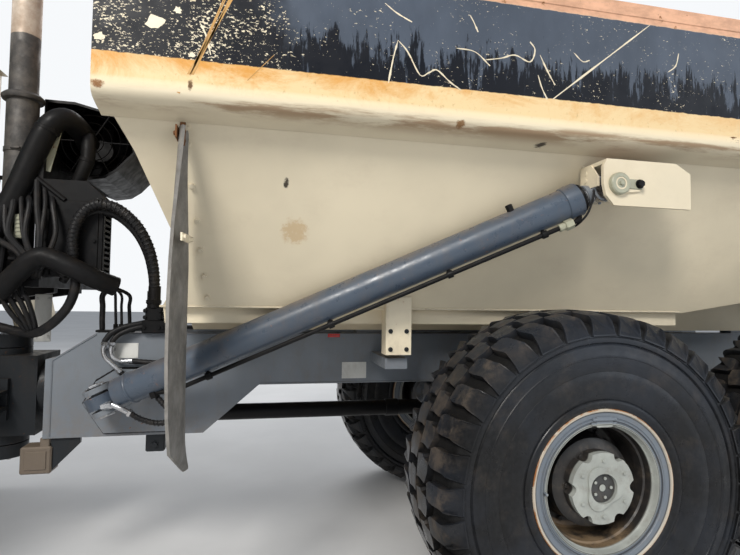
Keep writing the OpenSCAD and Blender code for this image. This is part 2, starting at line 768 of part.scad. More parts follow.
module bumper() {
    color(dark) difference() {
        translate([0, 0, 740]) linear_extrude(470) polygon([[nose_x - 120 + seat, -1480],
            [nose_x - 60, -1480], [nose_x, -1000], [nose_x, 1000], [nose_x - 60, 1480],
            [nose_x - 120 + seat, 1480]]);
        block([nose_x - 60, -150, 830], [nose_x + 10, 150, 1000]);
        translate([nose_x - 34, 0, 730]) cylinder(r = 25, h = 110);
    }
}

module headlamps() {
    color(pale) both_sides() block([nose_x - 110, 1130, 1210 + seat], [nose_x - 30, 1420, 1390]);
}

// Cab: side outline from its floor to its roof
cab_x0 = bogie_x + 3760;
cab_x1 = cab_x0 + cab_len;
cab_z = deck_top + cab_rise;
cab_top = cab_z + cab_h;
belt_z = cab_z + 680;

function cab_outline(t) = [
    [cab_x0 + t, cab_z + t], [cab_x1 - t, cab_z + t], [cab_x1 - t, belt_z],
    [cab_x1 - 210 - t, cab_top - 60 - t / 2], [cab_x1 - 260 - t, cab_top - t], [cab_x0 + 50 + t, cab_top - t],
    [cab_x0 + t, cab_top - 60 - t / 2]];

door_x0 = cab_x0 + 330;
door_x1 = cab_x0 + 1130;
door_z0 = cab_z + 80;
door_z1 = cab_top - 160;
win_low = belt_z + 10;
win_top = cab_top - 190;

// Window openings, one row each: side, x or y start, x or y end, low and high edge
module cab_windows(grow) {
    g = grow;
    both_sides() {
        block([cab_x0 + 90 - g, cab_y - cab_t - 5, win_low - g], [door_x0 - 70 + g, cab_y + 5, win_top + g]);
        side_plate([[door_x1 + 60 - g, win_low - g], [cab_x1 - 90 + g, win_low - g],
            [cab_x1 - 255 + g, win_top + g], [door_x1 + 60 - g, win_top + g]], cab_y - cab_t - 5, cab_y + 5);
    }
    block([door_x0 + 60 - g, -cab_y - 5, win_low - g],
        [door_x1 - 60 + g, -cab_y + cab_t + 5, win_top + g]);
    block([cab_x0 - 5, -cab_y + 120 - g, win_low - g], [cab_x0 + cab_t + 5, cab_y - 120 + g, win_top + g]);
    cross_plate([[-cab_y + 90 - g, win_low + 40 - g], [cab_y - 90 + g, win_low + 40 - g],
        [cab_y - 110 + g, win_top + 40 + g], [-cab_y + 110 - g, win_top + 40 + g]], cab_x1 - 420, cab_x1 + 20);
}

// Door hinges: pins on the cab's side and knuckles on the door
door_axis_x = door_x0 + run + 10;
door_axis_y = cab_y + 16;
knuckle_zs = [door_z0 + 160, door_z1 - 230];

module cab_knuckles() {
    for (z = knuckle_zs) {
        block([door_x0 - 50, cab_y - 1, z], [door_x0, door_axis_y, z + 30]);
        block([door_x0 - 1, cab_y + run, z], [door_axis_x, door_axis_y, z + 30]);
        translate([door_axis_x, door_axis_y, z]) intersection() {
            cylinder(r = 14, h = 30);
            translate([-20, run - 16, 0]) cube([40, 30, 30]);
        }
        translate([door_axis_x, door_axis_y, z]) cylinder(r = 8, h = 74);
    }
}

module door_knuckles() {
    for (z = knuckle_zs) difference() {
        union() {
            translate([door_axis_x, door_axis_y, z + 30 + seat]) cylinder(r = 14, h = 40);
            block([door_axis_x - 5, cab_y - 1, z + 30 + seat], [door_axis_x + 60, cab_y + 10, z + 70 + seat]);
        }
        translate([door_axis_x, door_axis_y, z]) cylinder(r = 8 + seat, h = 90);
    }
}

module cab_shell() {
    color(cream) cab_knuckles();
    color(cream) difference() {
        union() {
            side_plate(cab_outline(0), -cab_y, cab_y);
            side_plate([[cab_x0 - 40, cab_top - 60], [cab_x1 - 100, cab_top - 60],
                [cab_x1 - 180, cab_top], [cab_x0 + 30, cab_top]], -cab_y - 20, cab_y + 20);
        }
        side_plate(cab_outline(cab_t), -cab_y + cab_t, cab_y - cab_t);
        cab_windows(0);
        block([door_x0, cab_y - cab_t - 5, door_z0], [door_x1, cab_y + 5, door_z1]);
        // gap between the cab's floor and the deck is closed by rubber feet
        block([cab_x0 + 200, -cab_y - 5, cab_z - 5], [cab_x1 - 200, cab_y + 5, cab_z]);
    }
    color(dark) for (x = [cab_x0 + 60, cab_x1 - 160]) both_sides()
        translate([x + 50, cab_y - 150, deck_top + seat]) cylinder(r = 50, h = cab_z - deck_top - seat + 1);
}

module cab_glass() {
    pane = 8;
    inset = 26;
    color(glass) intersection() {
        cab_windows(-seat);
        difference() {
            side_plate(cab_outline(inset), -cab_y + inset, cab_y - inset);
            side_plate(cab_outline(inset + pane), -cab_y + inset + pane, cab_y - inset - pane);
        }
    }
}

module cab_door() {
    color(cream) door_knuckles();
    color(cream) difference() {
        block([door_x0 + run, cab_y - cab_t, door_z0 + run], [door_x1 - run, cab_y, door_z1 - run]);
        block([door_x0 + 80, cab_y - cab_t - 1, win_low - 120], [door_x1 - 80, cab_y + 1, win_top - 20]);
    }
}

module door_glass() {
    color(glass) block([door_x0 + 80 + seat, cab_y - 34, win_low - 120 + seat],
        [door_x1 - 80 - seat, cab_y - 26, win_top - 20 - seat]);
}

module cab_interior() {
    floor_in = cab_z + cab_t + seat;
    color(dark) {
        block([cab_x0 + 330, -250, floor_in], [cab_x0 + 830, 250, floor_in + 380]);
        block([cab_x0 + 360, -240, floor_in + 379], [cab_x0 + 860, 240, floor_in + 500]);
        side_plate([[cab_x0 + 300, floor_in + 400], [cab_x0 + 420, floor_in + 400],
            [cab_x0 + 330, floor_in + 1180], [cab_x0 + 240, floor_in + 1180]], -230, 230);
        side_plate([[cab_x1 - 420, floor_in], [cab_x1 - 70, floor_in], [cab_x1 - 70, floor_in + 620],
            [cab_x1 - 330, floor_in + 700], [cab_x1 - 420, floor_in + 560]], -600, 600);
        translate([cab_x1 - 400, 0, floor_in + 560]) rotate([0, -55, 0]) {
            translate([0, 0, -60]) cylinder(d = 70, h = 190);
            translate([0, 0, 118]) rotate_extrude() translate([200, 0]) circle(d = 34);
            for (a = [0, 120, 240]) rotate(a) translate([0, -14, 108]) cube([200, 28, 16]);
        }
    }
}

// Hood: a shell that tips forward about its lower front edge
hood_x0 = cab_x1 + 20;
hood_x1 = nose_x - 130;
hood_t = 30;
hood_low = 1560;
// Heights of the hood's folds, from its face back to the cab
hood_face = 2020;
hood_lip = 2230;
hood_brow = 2440;
hood_back = 2690;

function hood_side(t) = [
    [hood_x0 - 40 * sign(t), hood_low - 40 * sign(t)], [hood_x1 - t, hood_low - 40 * sign(t)],
    [hood_x1 - t, hood_face], [hood_x1 - 90 - t, hood_lip - t / 2],
    [hood_x1 - 420 - t / 2, hood_brow - t], [hood_x0 - 40 * sign(t), hood_back - t]];

function hood_plan(t) = [
    [hood_x0 - 50, -hood_y + t], [hood_x0 + 500, -hood_y + t], [hood_x1 - 120, -hood_y + 110 + t],
    [hood_x1 + 10, -hood_y + 210 + t], [hood_x1 + 10, hood_y - 210 - t],
    [hood_x1 - 120, hood_y - 110 - t], [hood_x0 + 500, hood_y - t], [hood_x0 - 50, hood_y - t]];

module hood_form(t) {
    intersection() {
        side_plate(hood_side(t), -hood_y - 10, hood_y + 10);
        translate([0, 0, hood_low - 100]) linear_extrude(1400) polygon(hood_plan(t));
        cross_plate(mirrored([[hood_y - t, hood_low - 100], [hood_y - t, hood_back - 210 - t],
            [hood_y - 60 - t, hood_back - 70 - t], [hood_y - 180 - t, hood_back + 10 - t]]),
            hood_x0 - 60, hood_x1 + 20);
    }
}

grille_y = 460;
grille_low = 1660;
grille_top = 2000;
hood_hinge_x = hood_x1 - 60;
hood_hinge_z = 1545;
hinge_y = front_y - front_rail_w / 2;

// Ears inside the hood's front wall that turn on the frame's hinge pins
module hood_ears() {
    both_sides() difference() {
        union() {
            bar_y(hood_hinge_x, hood_hinge_z, 76, hinge_y - 14, hinge_y + 14);
            side_plate([[hood_hinge_x - 30, hood_hinge_z], [hood_hinge_x + 32, hood_hinge_z],
                [hood_hinge_x + 32, hood_hinge_z + 120], [hood_hinge_x, hood_hinge_z + 120]],
                hinge_y - 14, hinge_y + 14);
        }
        bar_y(hood_hinge_x, hood_hinge_z, 36 + 2 * seat, hinge_y - 20, hinge_y + 20);
    }
}

module hood() {
    color(cream) hood_ears();
    color(cream) difference() {
        hood_form(0);
        hood_form(hood_t);
        block([hood_x1 - 100, -grille_y, grille_low], [hood_x1 + 20, grille_y, grille_top]);
        block([hood_x0 - 10, -hood_y - 10, hood_low - 10], [deck_x1 + 420, hood_y + 10, deck_top + 10]);
    }
}

module hood_grille() {
    bars = 9;
    gap = (grille_top - grille_low - 2 * seat) / bars;
    color(dark) {
        difference() {
            block([hood_x1 - 26, -grille_y + seat, grille_low + seat],
                [hood_x1 - 4, grille_y - seat, grille_top - seat]);
            block([hood_x1 - 30, -grille_y + 30, grille_low + 30], [hood_x1, grille_y - 30, grille_top - 30]);
        }
        for (i = [1 : bars - 1]) block([hood_x1 - 24, -grille_y + 20, grille_low + i * gap - 6],
            [hood_x1 - 8, grille_y - 20, grille_low + i * gap + 6]);
    }
}

// Deck behind the cab, with a bulkhead that carries the cooler and the fan's shroud
rear_deck_x0 = bogie_x + 2900;
rear_deck_x1 = deck_x0 - 20;
rear_deck_z = 1830;
bulkhead_t = 30;
bulkhead_top = 2640;
cooler_x0 = bogie_x + 2570;
cooler_y = 450;
cooler_low = 1890;
cooler_top = 2450;
deck_y = 600;
shroud_y = 350;
shroud_t = 16;

// The shroud's outline: distance ahead of the front bogie axle, and height
shroud_shape = [[3003, 2998], [2834, 2996], [2642, 2950], [2558, 2912], [2502, 2827], [2468, 2700],
    [2576, 2576], [2645, 2527], [2753, 2507], [2903, 2560], [3003, 2680]];

module shroud_form(t, y0, y1) {
    translate([bogie_x, 0, 0]) side_plate([for (p = shroud_shape)
        [2750 + (p[0] - 2750) * (1 - t / 265), 2750 + (p[1] - 2750) * (1 - t / 245)]], y0, y1);
}

module rear_deck() {
    color(dark) difference() {
        union() {
            block([rear_deck_x0, -deck_y, rear_deck_z], [rear_deck_x1, deck_y, rear_deck_z + 40]);
            block([rear_deck_x0, -deck_y, rear_deck_z + 39],
                [rear_deck_x0 + bulkhead_t, deck_y, bulkhead_top]);
            both_sides() side_plate([[torque_x1, ear_high + seat], [torque_x1, rear_deck_z - 60],
                [rear_deck_x1, rear_deck_z + 1], [rear_deck_x0 + 40, rear_deck_z + 1],
                [rear_deck_x0 + 40, rear_deck_z - 30], [torque_x0 - 200, 1700],
                [torque_x0, ear_high + seat]], 200, 260);
            // cooler with its slanted upper corner, and the oil tank ahead of the bulkhead
            side_plate([[cooler_x0, cooler_low], [rear_deck_x0 + 1, cooler_low],
                [rear_deck_x0 + 1, cooler_top], [cooler_x0 + 100, cooler_top],
                [cooler_x0 + 13, cooler_top - 83], [cooler_x0, cooler_top - 110]], cooler_y, deck_y);
            block([rear_deck_x0 + bulkhead_t - 1, -deck_y, rear_deck_z + 39],
                [rear_deck_x0 + 300, -300, 2350]);
            shroud_form(0, -shroud_y, shroud_y);
        }
        shroud_form(shroud_t, -shroud_y + shroud_t, shroud_y + 1);
        // slots in the cooler's rear face
        for (z = [cooler_low + 30 : 32 : cooler_top - 130])
            block([cooler_x0 - 1, cooler_y + 20, z], [cooler_x0 + 22, deck_y - 20, z + 18]);
    }
}

stack_x = bogie_x + 3080;
stack_y = 450;

module exhaust_stack() {
    color(dark) translate([stack_x, stack_y, rear_deck_z + 40 + seat]) cylinder(d = 170, h = 1080);
    color(steel) translate([stack_x, stack_y, 0]) difference() {
        union() {
            translate([0, 0, rear_deck_z + 1110]) cylinder(d = 190, h = 30);
            translate([0, 0, rear_deck_z + 1100]) cylinder(d = 155, h = 700);
        }
        translate([0, 0, rear_deck_z + 1300]) cylinder(d = 140, h = 600);
    }
}

// Ladders, handrails and mirrors
rail_post_y = fender_out - 40;
post_x0 = deck_x0 + 320;
mirror_size = [40, 180, 380];
ladder_low = 480;

module steps_rails() {
    post_top = deck_top + 990;
    color(dark) both_sides() {
        for (x = [post_x0, front_x - 60, deck_x1 - 80])
            translate([x, rail_post_y, deck_top + seat]) cylinder(d = 40, h = post_top - deck_top);
        bar_x(rail_post_y, post_top, 40, post_x0, deck_x1 - 80);
        bar_x(rail_post_y, (post_top + deck_top) / 2, 32, post_x0, deck_x1 - 80);
        for (y = [hood_y + 330, fender_out - 50])
            side_plate([[arch_x1 + 2, fender_low - seat], [arch_x1 + 42, ladder_low],
                [arch_x1 + 92, ladder_low], [arch_x1 + 38, fender_low - seat]], y, y + 30);
        for (z = [ladder_low + 20, ladder_low + 250, ladder_low + 480])
            block([arch_x1 + 40, hood_y + 340, z], [arch_x1 + 160, fender_out - 30, z + 30]);
        translate([deck_x1 - 80, rail_post_y, post_top + 160]) cube(mirror_size, center = true);
    }
}

front_frame();
engine_block();
front_axle();
fenders();
bumper();
cab_shell();
cab_interior();
cab_glass();
cab_door();
door_glass();
hood();
hood_grille();
headlamps();
exhaust_stack();
rear_deck();
steps_rails();
hitch();
steer_barrel_left();
steer_barrel_right();
steer_rod_left();
steer_rod_right();
rear_frame();
bogie_axles();
driveshafts();
dump_body();
body_guides();
mud_flaps();
hoist_barrel_left();
hoist_barrel_right();
hoist_sleeve_left();
hoist_sleeve_right();
hoist_rod_left();
hoist_rod_right();
tyre_front_left();
tyre_front_right();
tyre_mid_left();
tyre_mid_right();
tyre_rear_left();
tyre_rear_right();
wheel_front_left();
wheel_front_right();
wheel_mid_left();
wheel_mid_right();
wheel_rear_left();
wheel_rear_right();
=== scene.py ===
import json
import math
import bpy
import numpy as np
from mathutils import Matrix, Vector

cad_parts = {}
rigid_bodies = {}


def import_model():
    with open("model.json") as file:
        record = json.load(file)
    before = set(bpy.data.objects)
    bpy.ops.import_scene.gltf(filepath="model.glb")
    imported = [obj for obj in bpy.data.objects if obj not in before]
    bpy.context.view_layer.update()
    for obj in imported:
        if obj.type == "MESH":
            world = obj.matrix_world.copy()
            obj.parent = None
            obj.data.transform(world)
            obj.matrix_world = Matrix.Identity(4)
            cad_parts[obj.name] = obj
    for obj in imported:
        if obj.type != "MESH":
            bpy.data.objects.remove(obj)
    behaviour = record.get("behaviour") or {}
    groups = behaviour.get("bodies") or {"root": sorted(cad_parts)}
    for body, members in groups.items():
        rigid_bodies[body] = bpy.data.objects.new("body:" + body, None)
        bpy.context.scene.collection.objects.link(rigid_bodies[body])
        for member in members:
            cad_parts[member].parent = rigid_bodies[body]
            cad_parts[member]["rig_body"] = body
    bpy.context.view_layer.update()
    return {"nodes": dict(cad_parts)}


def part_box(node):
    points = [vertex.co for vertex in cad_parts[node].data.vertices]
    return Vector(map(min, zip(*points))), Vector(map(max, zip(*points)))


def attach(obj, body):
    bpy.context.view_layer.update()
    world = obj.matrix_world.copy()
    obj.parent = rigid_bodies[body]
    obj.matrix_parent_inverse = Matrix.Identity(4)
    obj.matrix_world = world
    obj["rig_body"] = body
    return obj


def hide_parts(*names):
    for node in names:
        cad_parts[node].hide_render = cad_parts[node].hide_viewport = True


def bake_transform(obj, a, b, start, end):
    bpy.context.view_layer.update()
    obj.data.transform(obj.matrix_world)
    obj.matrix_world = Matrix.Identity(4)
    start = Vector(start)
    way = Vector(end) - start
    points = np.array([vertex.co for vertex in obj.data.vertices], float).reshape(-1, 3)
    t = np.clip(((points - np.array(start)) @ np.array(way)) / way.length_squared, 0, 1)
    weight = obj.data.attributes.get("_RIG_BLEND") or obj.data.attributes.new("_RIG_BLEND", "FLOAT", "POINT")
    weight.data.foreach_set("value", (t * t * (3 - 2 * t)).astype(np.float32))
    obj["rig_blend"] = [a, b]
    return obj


bl_info = {"name": "Articulated Dump Truck", "version": (1, 0, 0), "blender": (4, 5, 0),
    "location": "View3D > Sidebar > Dump Truck",
    "description": "Dresses the frame of a worn articulated dump truck", "category": "Object"}

import bmesh
import bpy
from bpy.props import FloatProperty, FloatVectorProperty, IntProperty, PointerProperty
from mathutils import Matrix, Vector, noise

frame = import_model()


def middle(node):
    """The middle of a CAD node's box."""
    low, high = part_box(node)
    return (low + high) / 2


SIDES = {"left": 1, "right": -1}
STATIONS = ("front", "mid", "rear")
BOGIE = middle("tyre_mid_left")
AXLE_Z = BOGIE.z
REAR_X = middle("tyre_rear_left").x
FRONT_AXLE_X = 2.95
CAB_SIDE = 0.8
TYRE_R = (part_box("tyre_mid_left")[1].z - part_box("tyre_mid_left")[0].z) / 2
TYRE_HALF = (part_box("tyre_mid_left")[1].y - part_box("tyre_mid_left")[0].y) / 2
BODY_LOW, BODY_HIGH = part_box("dump_body")
FRAME_LOW, FRAME_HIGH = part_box("rear_frame")


def at(x, y, z):
    """A point given by its distance ahead of the front bogie axle, its side and its height."""
    return Vector((BOGIE.x + x, y, z))


def route(*points):
    """A list of such points."""
    return [at(*point) for point in points]


def circle(count, radius, turn=0.0):
    """Pairs of distances that go round a circle, from a share of one step."""
    angles = [math.tau * (i + turn) / count for i in range(count)]
    return [(radius * math.cos(angle), radius * math.sin(angle)) for angle in angles]


def turned(degrees, axis):
    return Matrix.Rotation(math.radians(degrees), 4, axis)


def rectangle(low, high):
    """The corners of an upright rectangle, in order."""
    return [low, (high[0], low[1]), high, (low[0], high[1])]


def colour_property(name, description, default):
    """A colour that a user may change."""
    return FloatVectorProperty(name=name, description=description, subtype="COLOR", size=3, min=0, max=1,
        default=default)


def size_property(name, description, default):
    """A length that a user may change, in metres."""
    return FloatProperty(name=name, description=description, default=default, min=0.0005, subtype="DISTANCE",
        unit="LENGTH")


class TruckColours(bpy.types.PropertyGroup):
    """Paints, rubbers and metals of the truck."""

    cream: colour_property("Cream", "Paint of the body and the cab", (0.7, 0.615, 0.455))
    band: colour_property("Band", "Faded band along the body's rails", (0.018, 0.022, 0.034))
    rust: colour_property("Rust", "Rust that runs from chips and seams", (0.42, 0.16, 0.04))
    rail: colour_property("Rail", "Bare, rusted strip along the top of the rails", (0.74, 0.42, 0.27))
    grey: colour_property("Grey", "Paint of the frames and cylinders", (0.165, 0.185, 0.21))
    rim: colour_property("Rim", "Paint of the rims and hubs", (0.36, 0.375, 0.345))
    rubber: colour_property("Rubber", "Tyres", (0.016, 0.016, 0.017))
    mud: colour_property("Mud", "Dried mud and dust", (0.19, 0.145, 0.105))
    black: colour_property("Black", "Black painted steel and plastic", (0.012, 0.012, 0.013))
    flap: colour_property("Flap", "Grey rubber of the mud flaps", (0.21, 0.2, 0.185))
    steel: colour_property("Steel", "Plated rods, pins and fittings", (0.55, 0.56, 0.58))
    glass: colour_property("Glass", "Tint of the windows", (0.3, 0.42, 0.42))
    trim: colour_property("Trim", "Plastic and cloth inside the cab", (0.055, 0.055, 0.058))
    reflector: colour_property("Reflector", "Red reflectors and lamps", (0.55, 0.02, 0.015))


class TyreSizes(bpy.types.PropertyGroup):
    """Tread and side walls of the tyres."""

    pitches: IntProperty(name="Pitches", description="Lugs round each shoulder", default=33, min=20, max=40)
    lug_height: size_property("Lug height", "Depth of the tread", 0.036)
    groove: size_property("Groove", "Width of the groove round the middle", 0.016)
    shoulder_drop: size_property("Shoulder drop", "How far the lugs reach down the side", 0.085)


class FittingSizes(bpy.types.PropertyGroup):
    """Bolts, hoses and plates."""

    bolt: size_property("Bolt", "Width across the head of a frame bolt", 0.03)
    thick_hose: size_property("Thick hose", "Diameter of a high-pressure hose", 0.042)
    thin_hose: size_property("Thin hose", "Diameter of a brake hose", 0.022)
    pipe: size_property("Pipe", "Diameter of a steel pipe", 0.026)
    scratch: size_property("Scratch", "Width of a deep scratch", 0.006)


class Maker:
    """What the operators share: each calls its makers, first for both sides and then once."""

    each_side, once = (), ()

    def execute(self, context):
        for side in SIDES:
            for make in self.each_side:
                make(side)
        for make in self.once:
            make()
        return {"FINISHED"}


def colours():
    return bpy.context.scene.truck_colours


def tyre_sizes():
    return bpy.context.scene.truck_tyres


def fittings():
    return bpy.context.scene.truck_fittings


class Nodes:
    """The nodes of a material or of the sky."""

    def __init__(self, owner):
        owner.use_nodes = True
        self.tree = owner.node_tree

    def fill(self, node, inputs):
        """Links sockets to a node's inputs and sets plain values, leaving out what is None."""
        for key, value in inputs.items():
            socket = node.inputs[key]
            if isinstance(value, bpy.types.NodeSocket):
                self.tree.links.new(value, socket)
            elif value is not None:
                socket.default_value = (*value[:3], 1) if socket.type == "RGBA" else value

    def add(self, kind, inputs=None, **settings):
        node = self.tree.nodes.new(kind)
        for key, value in settings.items():
            setattr(node, key, value)
        self.fill(node, inputs or {})
        return node

    def math(self, operation, a, b=0.0):
        return self.add("ShaderNodeMath", {0: a, 1: b}, operation=operation).outputs[0]

    def blend(self, factor, a, b, output):
        """Shows one shader or the other, by a factor."""
        shader = self.add("ShaderNodeMixShader", {"Fac": factor, 1: a, 2: b}).outputs["Shader"]
        self.fill(self.tree.nodes[output], {"Surface": shader})


class Finish(Nodes):
    """A material in the making. Most methods add a node and give back its socket."""

    def __init__(self, name):
        self.material = bpy.data.materials.new(name)
        super().__init__(self.material)
        self.shader = self.tree.nodes["Principled BSDF"]
        self.base = None
        sockets = self.add("ShaderNodeTexCoord").outputs
        self.place, self.facing, self.uv = sockets["Object"], sockets["Normal"], sockets["UV"]

    def stretched(self, scale, vector=None):
        return self.add("ShaderNodeMapping", {"Vector": vector or self.place, "Scale": scale}).outputs["Vector"]

    def noise(self, scale, detail=4.0, roughness=0.6, stretch=None, vector=None, distortion=0.0):
        source = self.stretched(stretch, vector) if stretch else vector or self.place
        return self.add("ShaderNodeTexNoise", {"Vector": source, "Scale": scale, "Detail": detail,
            "Roughness": roughness, "Distortion": distortion}).outputs["Fac"]

    def step(self, value, low, high, to_low=0.0, to_high=1.0):
        """Smooth change from one value to another as the input goes from low to high."""
        return self.add("ShaderNodeMapRange", {"Value": value, "From Min": low, "From Max": high,
            "To Min": to_low, "To Max": to_high}, interpolation_type="SMOOTHSTEP").outputs["Result"]

    def blots(self, low, high, *noise):
        """Noise that is 0 below one level and 1 above the other."""
        return self.step(self.noise(*noise), low, high)

    def window(self, value, a, b, c, d):
        """1 where the value lies inside the bounds, with a soft edge on each side."""
        return self.times(self.step(value, a, b), self.step(value, c, d))

    def times(self, a, b):
        return self.math("MULTIPLY", a, b)

    def plus(self, a, b):
        return self.math("ADD", a, b)

    def mix(self, factor, a, b):
        return self.add("ShaderNodeMix", {"Factor": factor, 6: a, 7: b}, data_type="RGBA").outputs[2]

    def over(self, factor, colour, share=None):
        """Lays a colour over the base where the factor is high."""
        factor = factor if share is None else self.times(factor, share)
        self.base = self.mix(factor, self.base, colour)

    def split(self, vector=None):
        node = self.add("ShaderNodeSeparateXYZ", {0: vector or self.place})
        return node.outputs["X"], node.outputs["Y"], node.outputs["Z"]

    def wave(self, direction, scale, vector):
        return self.add("ShaderNodeTexWave", {"Vector": vector, "Scale": scale}, wave_type="BANDS",
            bands_direction=direction).outputs["Fac"]

    def bump(self, height, strength=0.3, distance=0.002, after=None):
        return self.add("ShaderNodeBump", {"Strength": strength, "Distance": distance, "Height": height,
            "Normal": after}).outputs["Normal"]

    def close(self, roughness=0.5, metallic=0.0, normal=None, shine=0.5):
        """Gives the shader the base colour and the rest."""
        self.fill(self.shader, {"Base Color": self.base, "Roughness": roughness, "Metallic": metallic,
            "Specular IOR Level": shine, "Normal": normal})
        return self.material


def tint(colour, factor):
    """A colour made lighter or darker."""
    return tuple(min(1.0, channel * factor) for channel in colour)


def worn_paint(name, colour, rust, dust, chips=0.5, roughness=0.42, low=None, high=None):
    """Enamel with faint fading, fine grime, rust-edged chips, and dust that settles on what faces up."""
    m = Finish(name)
    fade = m.noise(1.3, 5, 0.6)
    m.base = m.mix(m.step(fade, 0.3, 0.7), tint(colour, 0.88), tint(colour, 1.08))
    grime = m.blots(0.45, 0.75, 9, 8, 0.72, (1, 1, 0.45))
    m.over(grime, tint(dust, 0.85), 0.3)
    chip_field = m.noise(26, 6, 0.7)
    chip = m.step(chip_field, 0.715 - 0.05 * chips, 0.735 - 0.05 * chips)
    halo = m.step(chip_field, 0.66 - 0.05 * chips, 0.74 - 0.05 * chips)
    m.over(halo, tint(rust, 1.15), 0.45)
    m.over(chip, tint(rust, 0.35))
    up = m.split(m.facing)[2]
    settled = m.times(m.step(up, 0.35, 0.95), m.blots(0.3, 0.62, 5, 6, 0.65))
    m.over(settled, dust, 0.55)
    if low is not None:
        splash = m.step(m.split()[2], low, high, 1.0, 0.0)
        splash = m.times(splash, m.blots(0.38, 0.62, 14, 8, 0.75))
        m.over(splash, dust, 0.75)
    gloss = m.step(m.noise(17, 5, 0.6), 0.3, 0.7, roughness - 0.08, roughness + 0.14)
    normal = m.bump(m.noise(120, 3, 0.5), 0.08, 0.001)
    normal = m.bump(m.math("SUBTRACT", 1.0, chip), 0.35, 0.0008, normal)
    return m.close(gloss, 0.0, normal, shine=0.14 if max(colour) < 0.03 else 0.5)


def faded_band(m, z):
    """Navy paint faded to grey-blue, with dark runs at its foot and dense pale flecks towards the front."""
    c = colours()
    x = m.split()[0]
    cloud = m.noise(2.4, 6, 0.62, (1, 1, 0.55))
    faded = m.mix(m.step(cloud, 0.32, 0.7), BAND_FADED, tint(BAND_FADED, 0.72))
    # runs: tall narrow patches of sound paint that are denser low down
    runs = m.noise(1.0, 7, 0.72, (26, 1, 3.2))
    low = m.step(z, 2.78, 3.24, 0.235, -0.17)
    blotch = m.noise(9, 5, 0.65, (1.4, 1, 0.7))
    sound = m.step(m.plus(m.plus(runs, low), m.times(blotch, 0.34)), 0.73, 0.8)
    front = m.step(m.plus(x, m.times(m.noise(3.5, 5, 0.6), 0.5)), BOGIE.x + 1.72, BOGIE.x + 1.98)
    sound = m.math("MAXIMUM", sound, front)
    band = m.mix(sound, faded, tint(c.band, 0.35))
    # flecks: short slanted dashes, many at the front and few behind
    slanted = m.add("ShaderNodeMapping", {"Vector": m.place, "Rotation": (0, math.radians(-32), 0),
        "Scale": (0.75, 1, 1.35)}).outputs["Vector"]
    dashes = m.noise(88, 5, 0.64, vector=slanted)
    patchy = m.step(m.noise(5, 4, 0.6), 0.38, 0.62, -0.045, 0.025)
    thin = m.plus(m.plus(dashes, patchy), m.step(front, 0, 1, 0.0, 0.082))
    flecks = m.step(thin, 0.668, 0.682)
    bare = m.step(m.plus(m.noise(7.5, 5, 0.62, (1, 1, 1.7)), m.times(front, 0.03)), 0.742, 0.748)
    return m.mix(m.math("MAXIMUM", flecks, bare), band, tint(c.cream, 1.05))


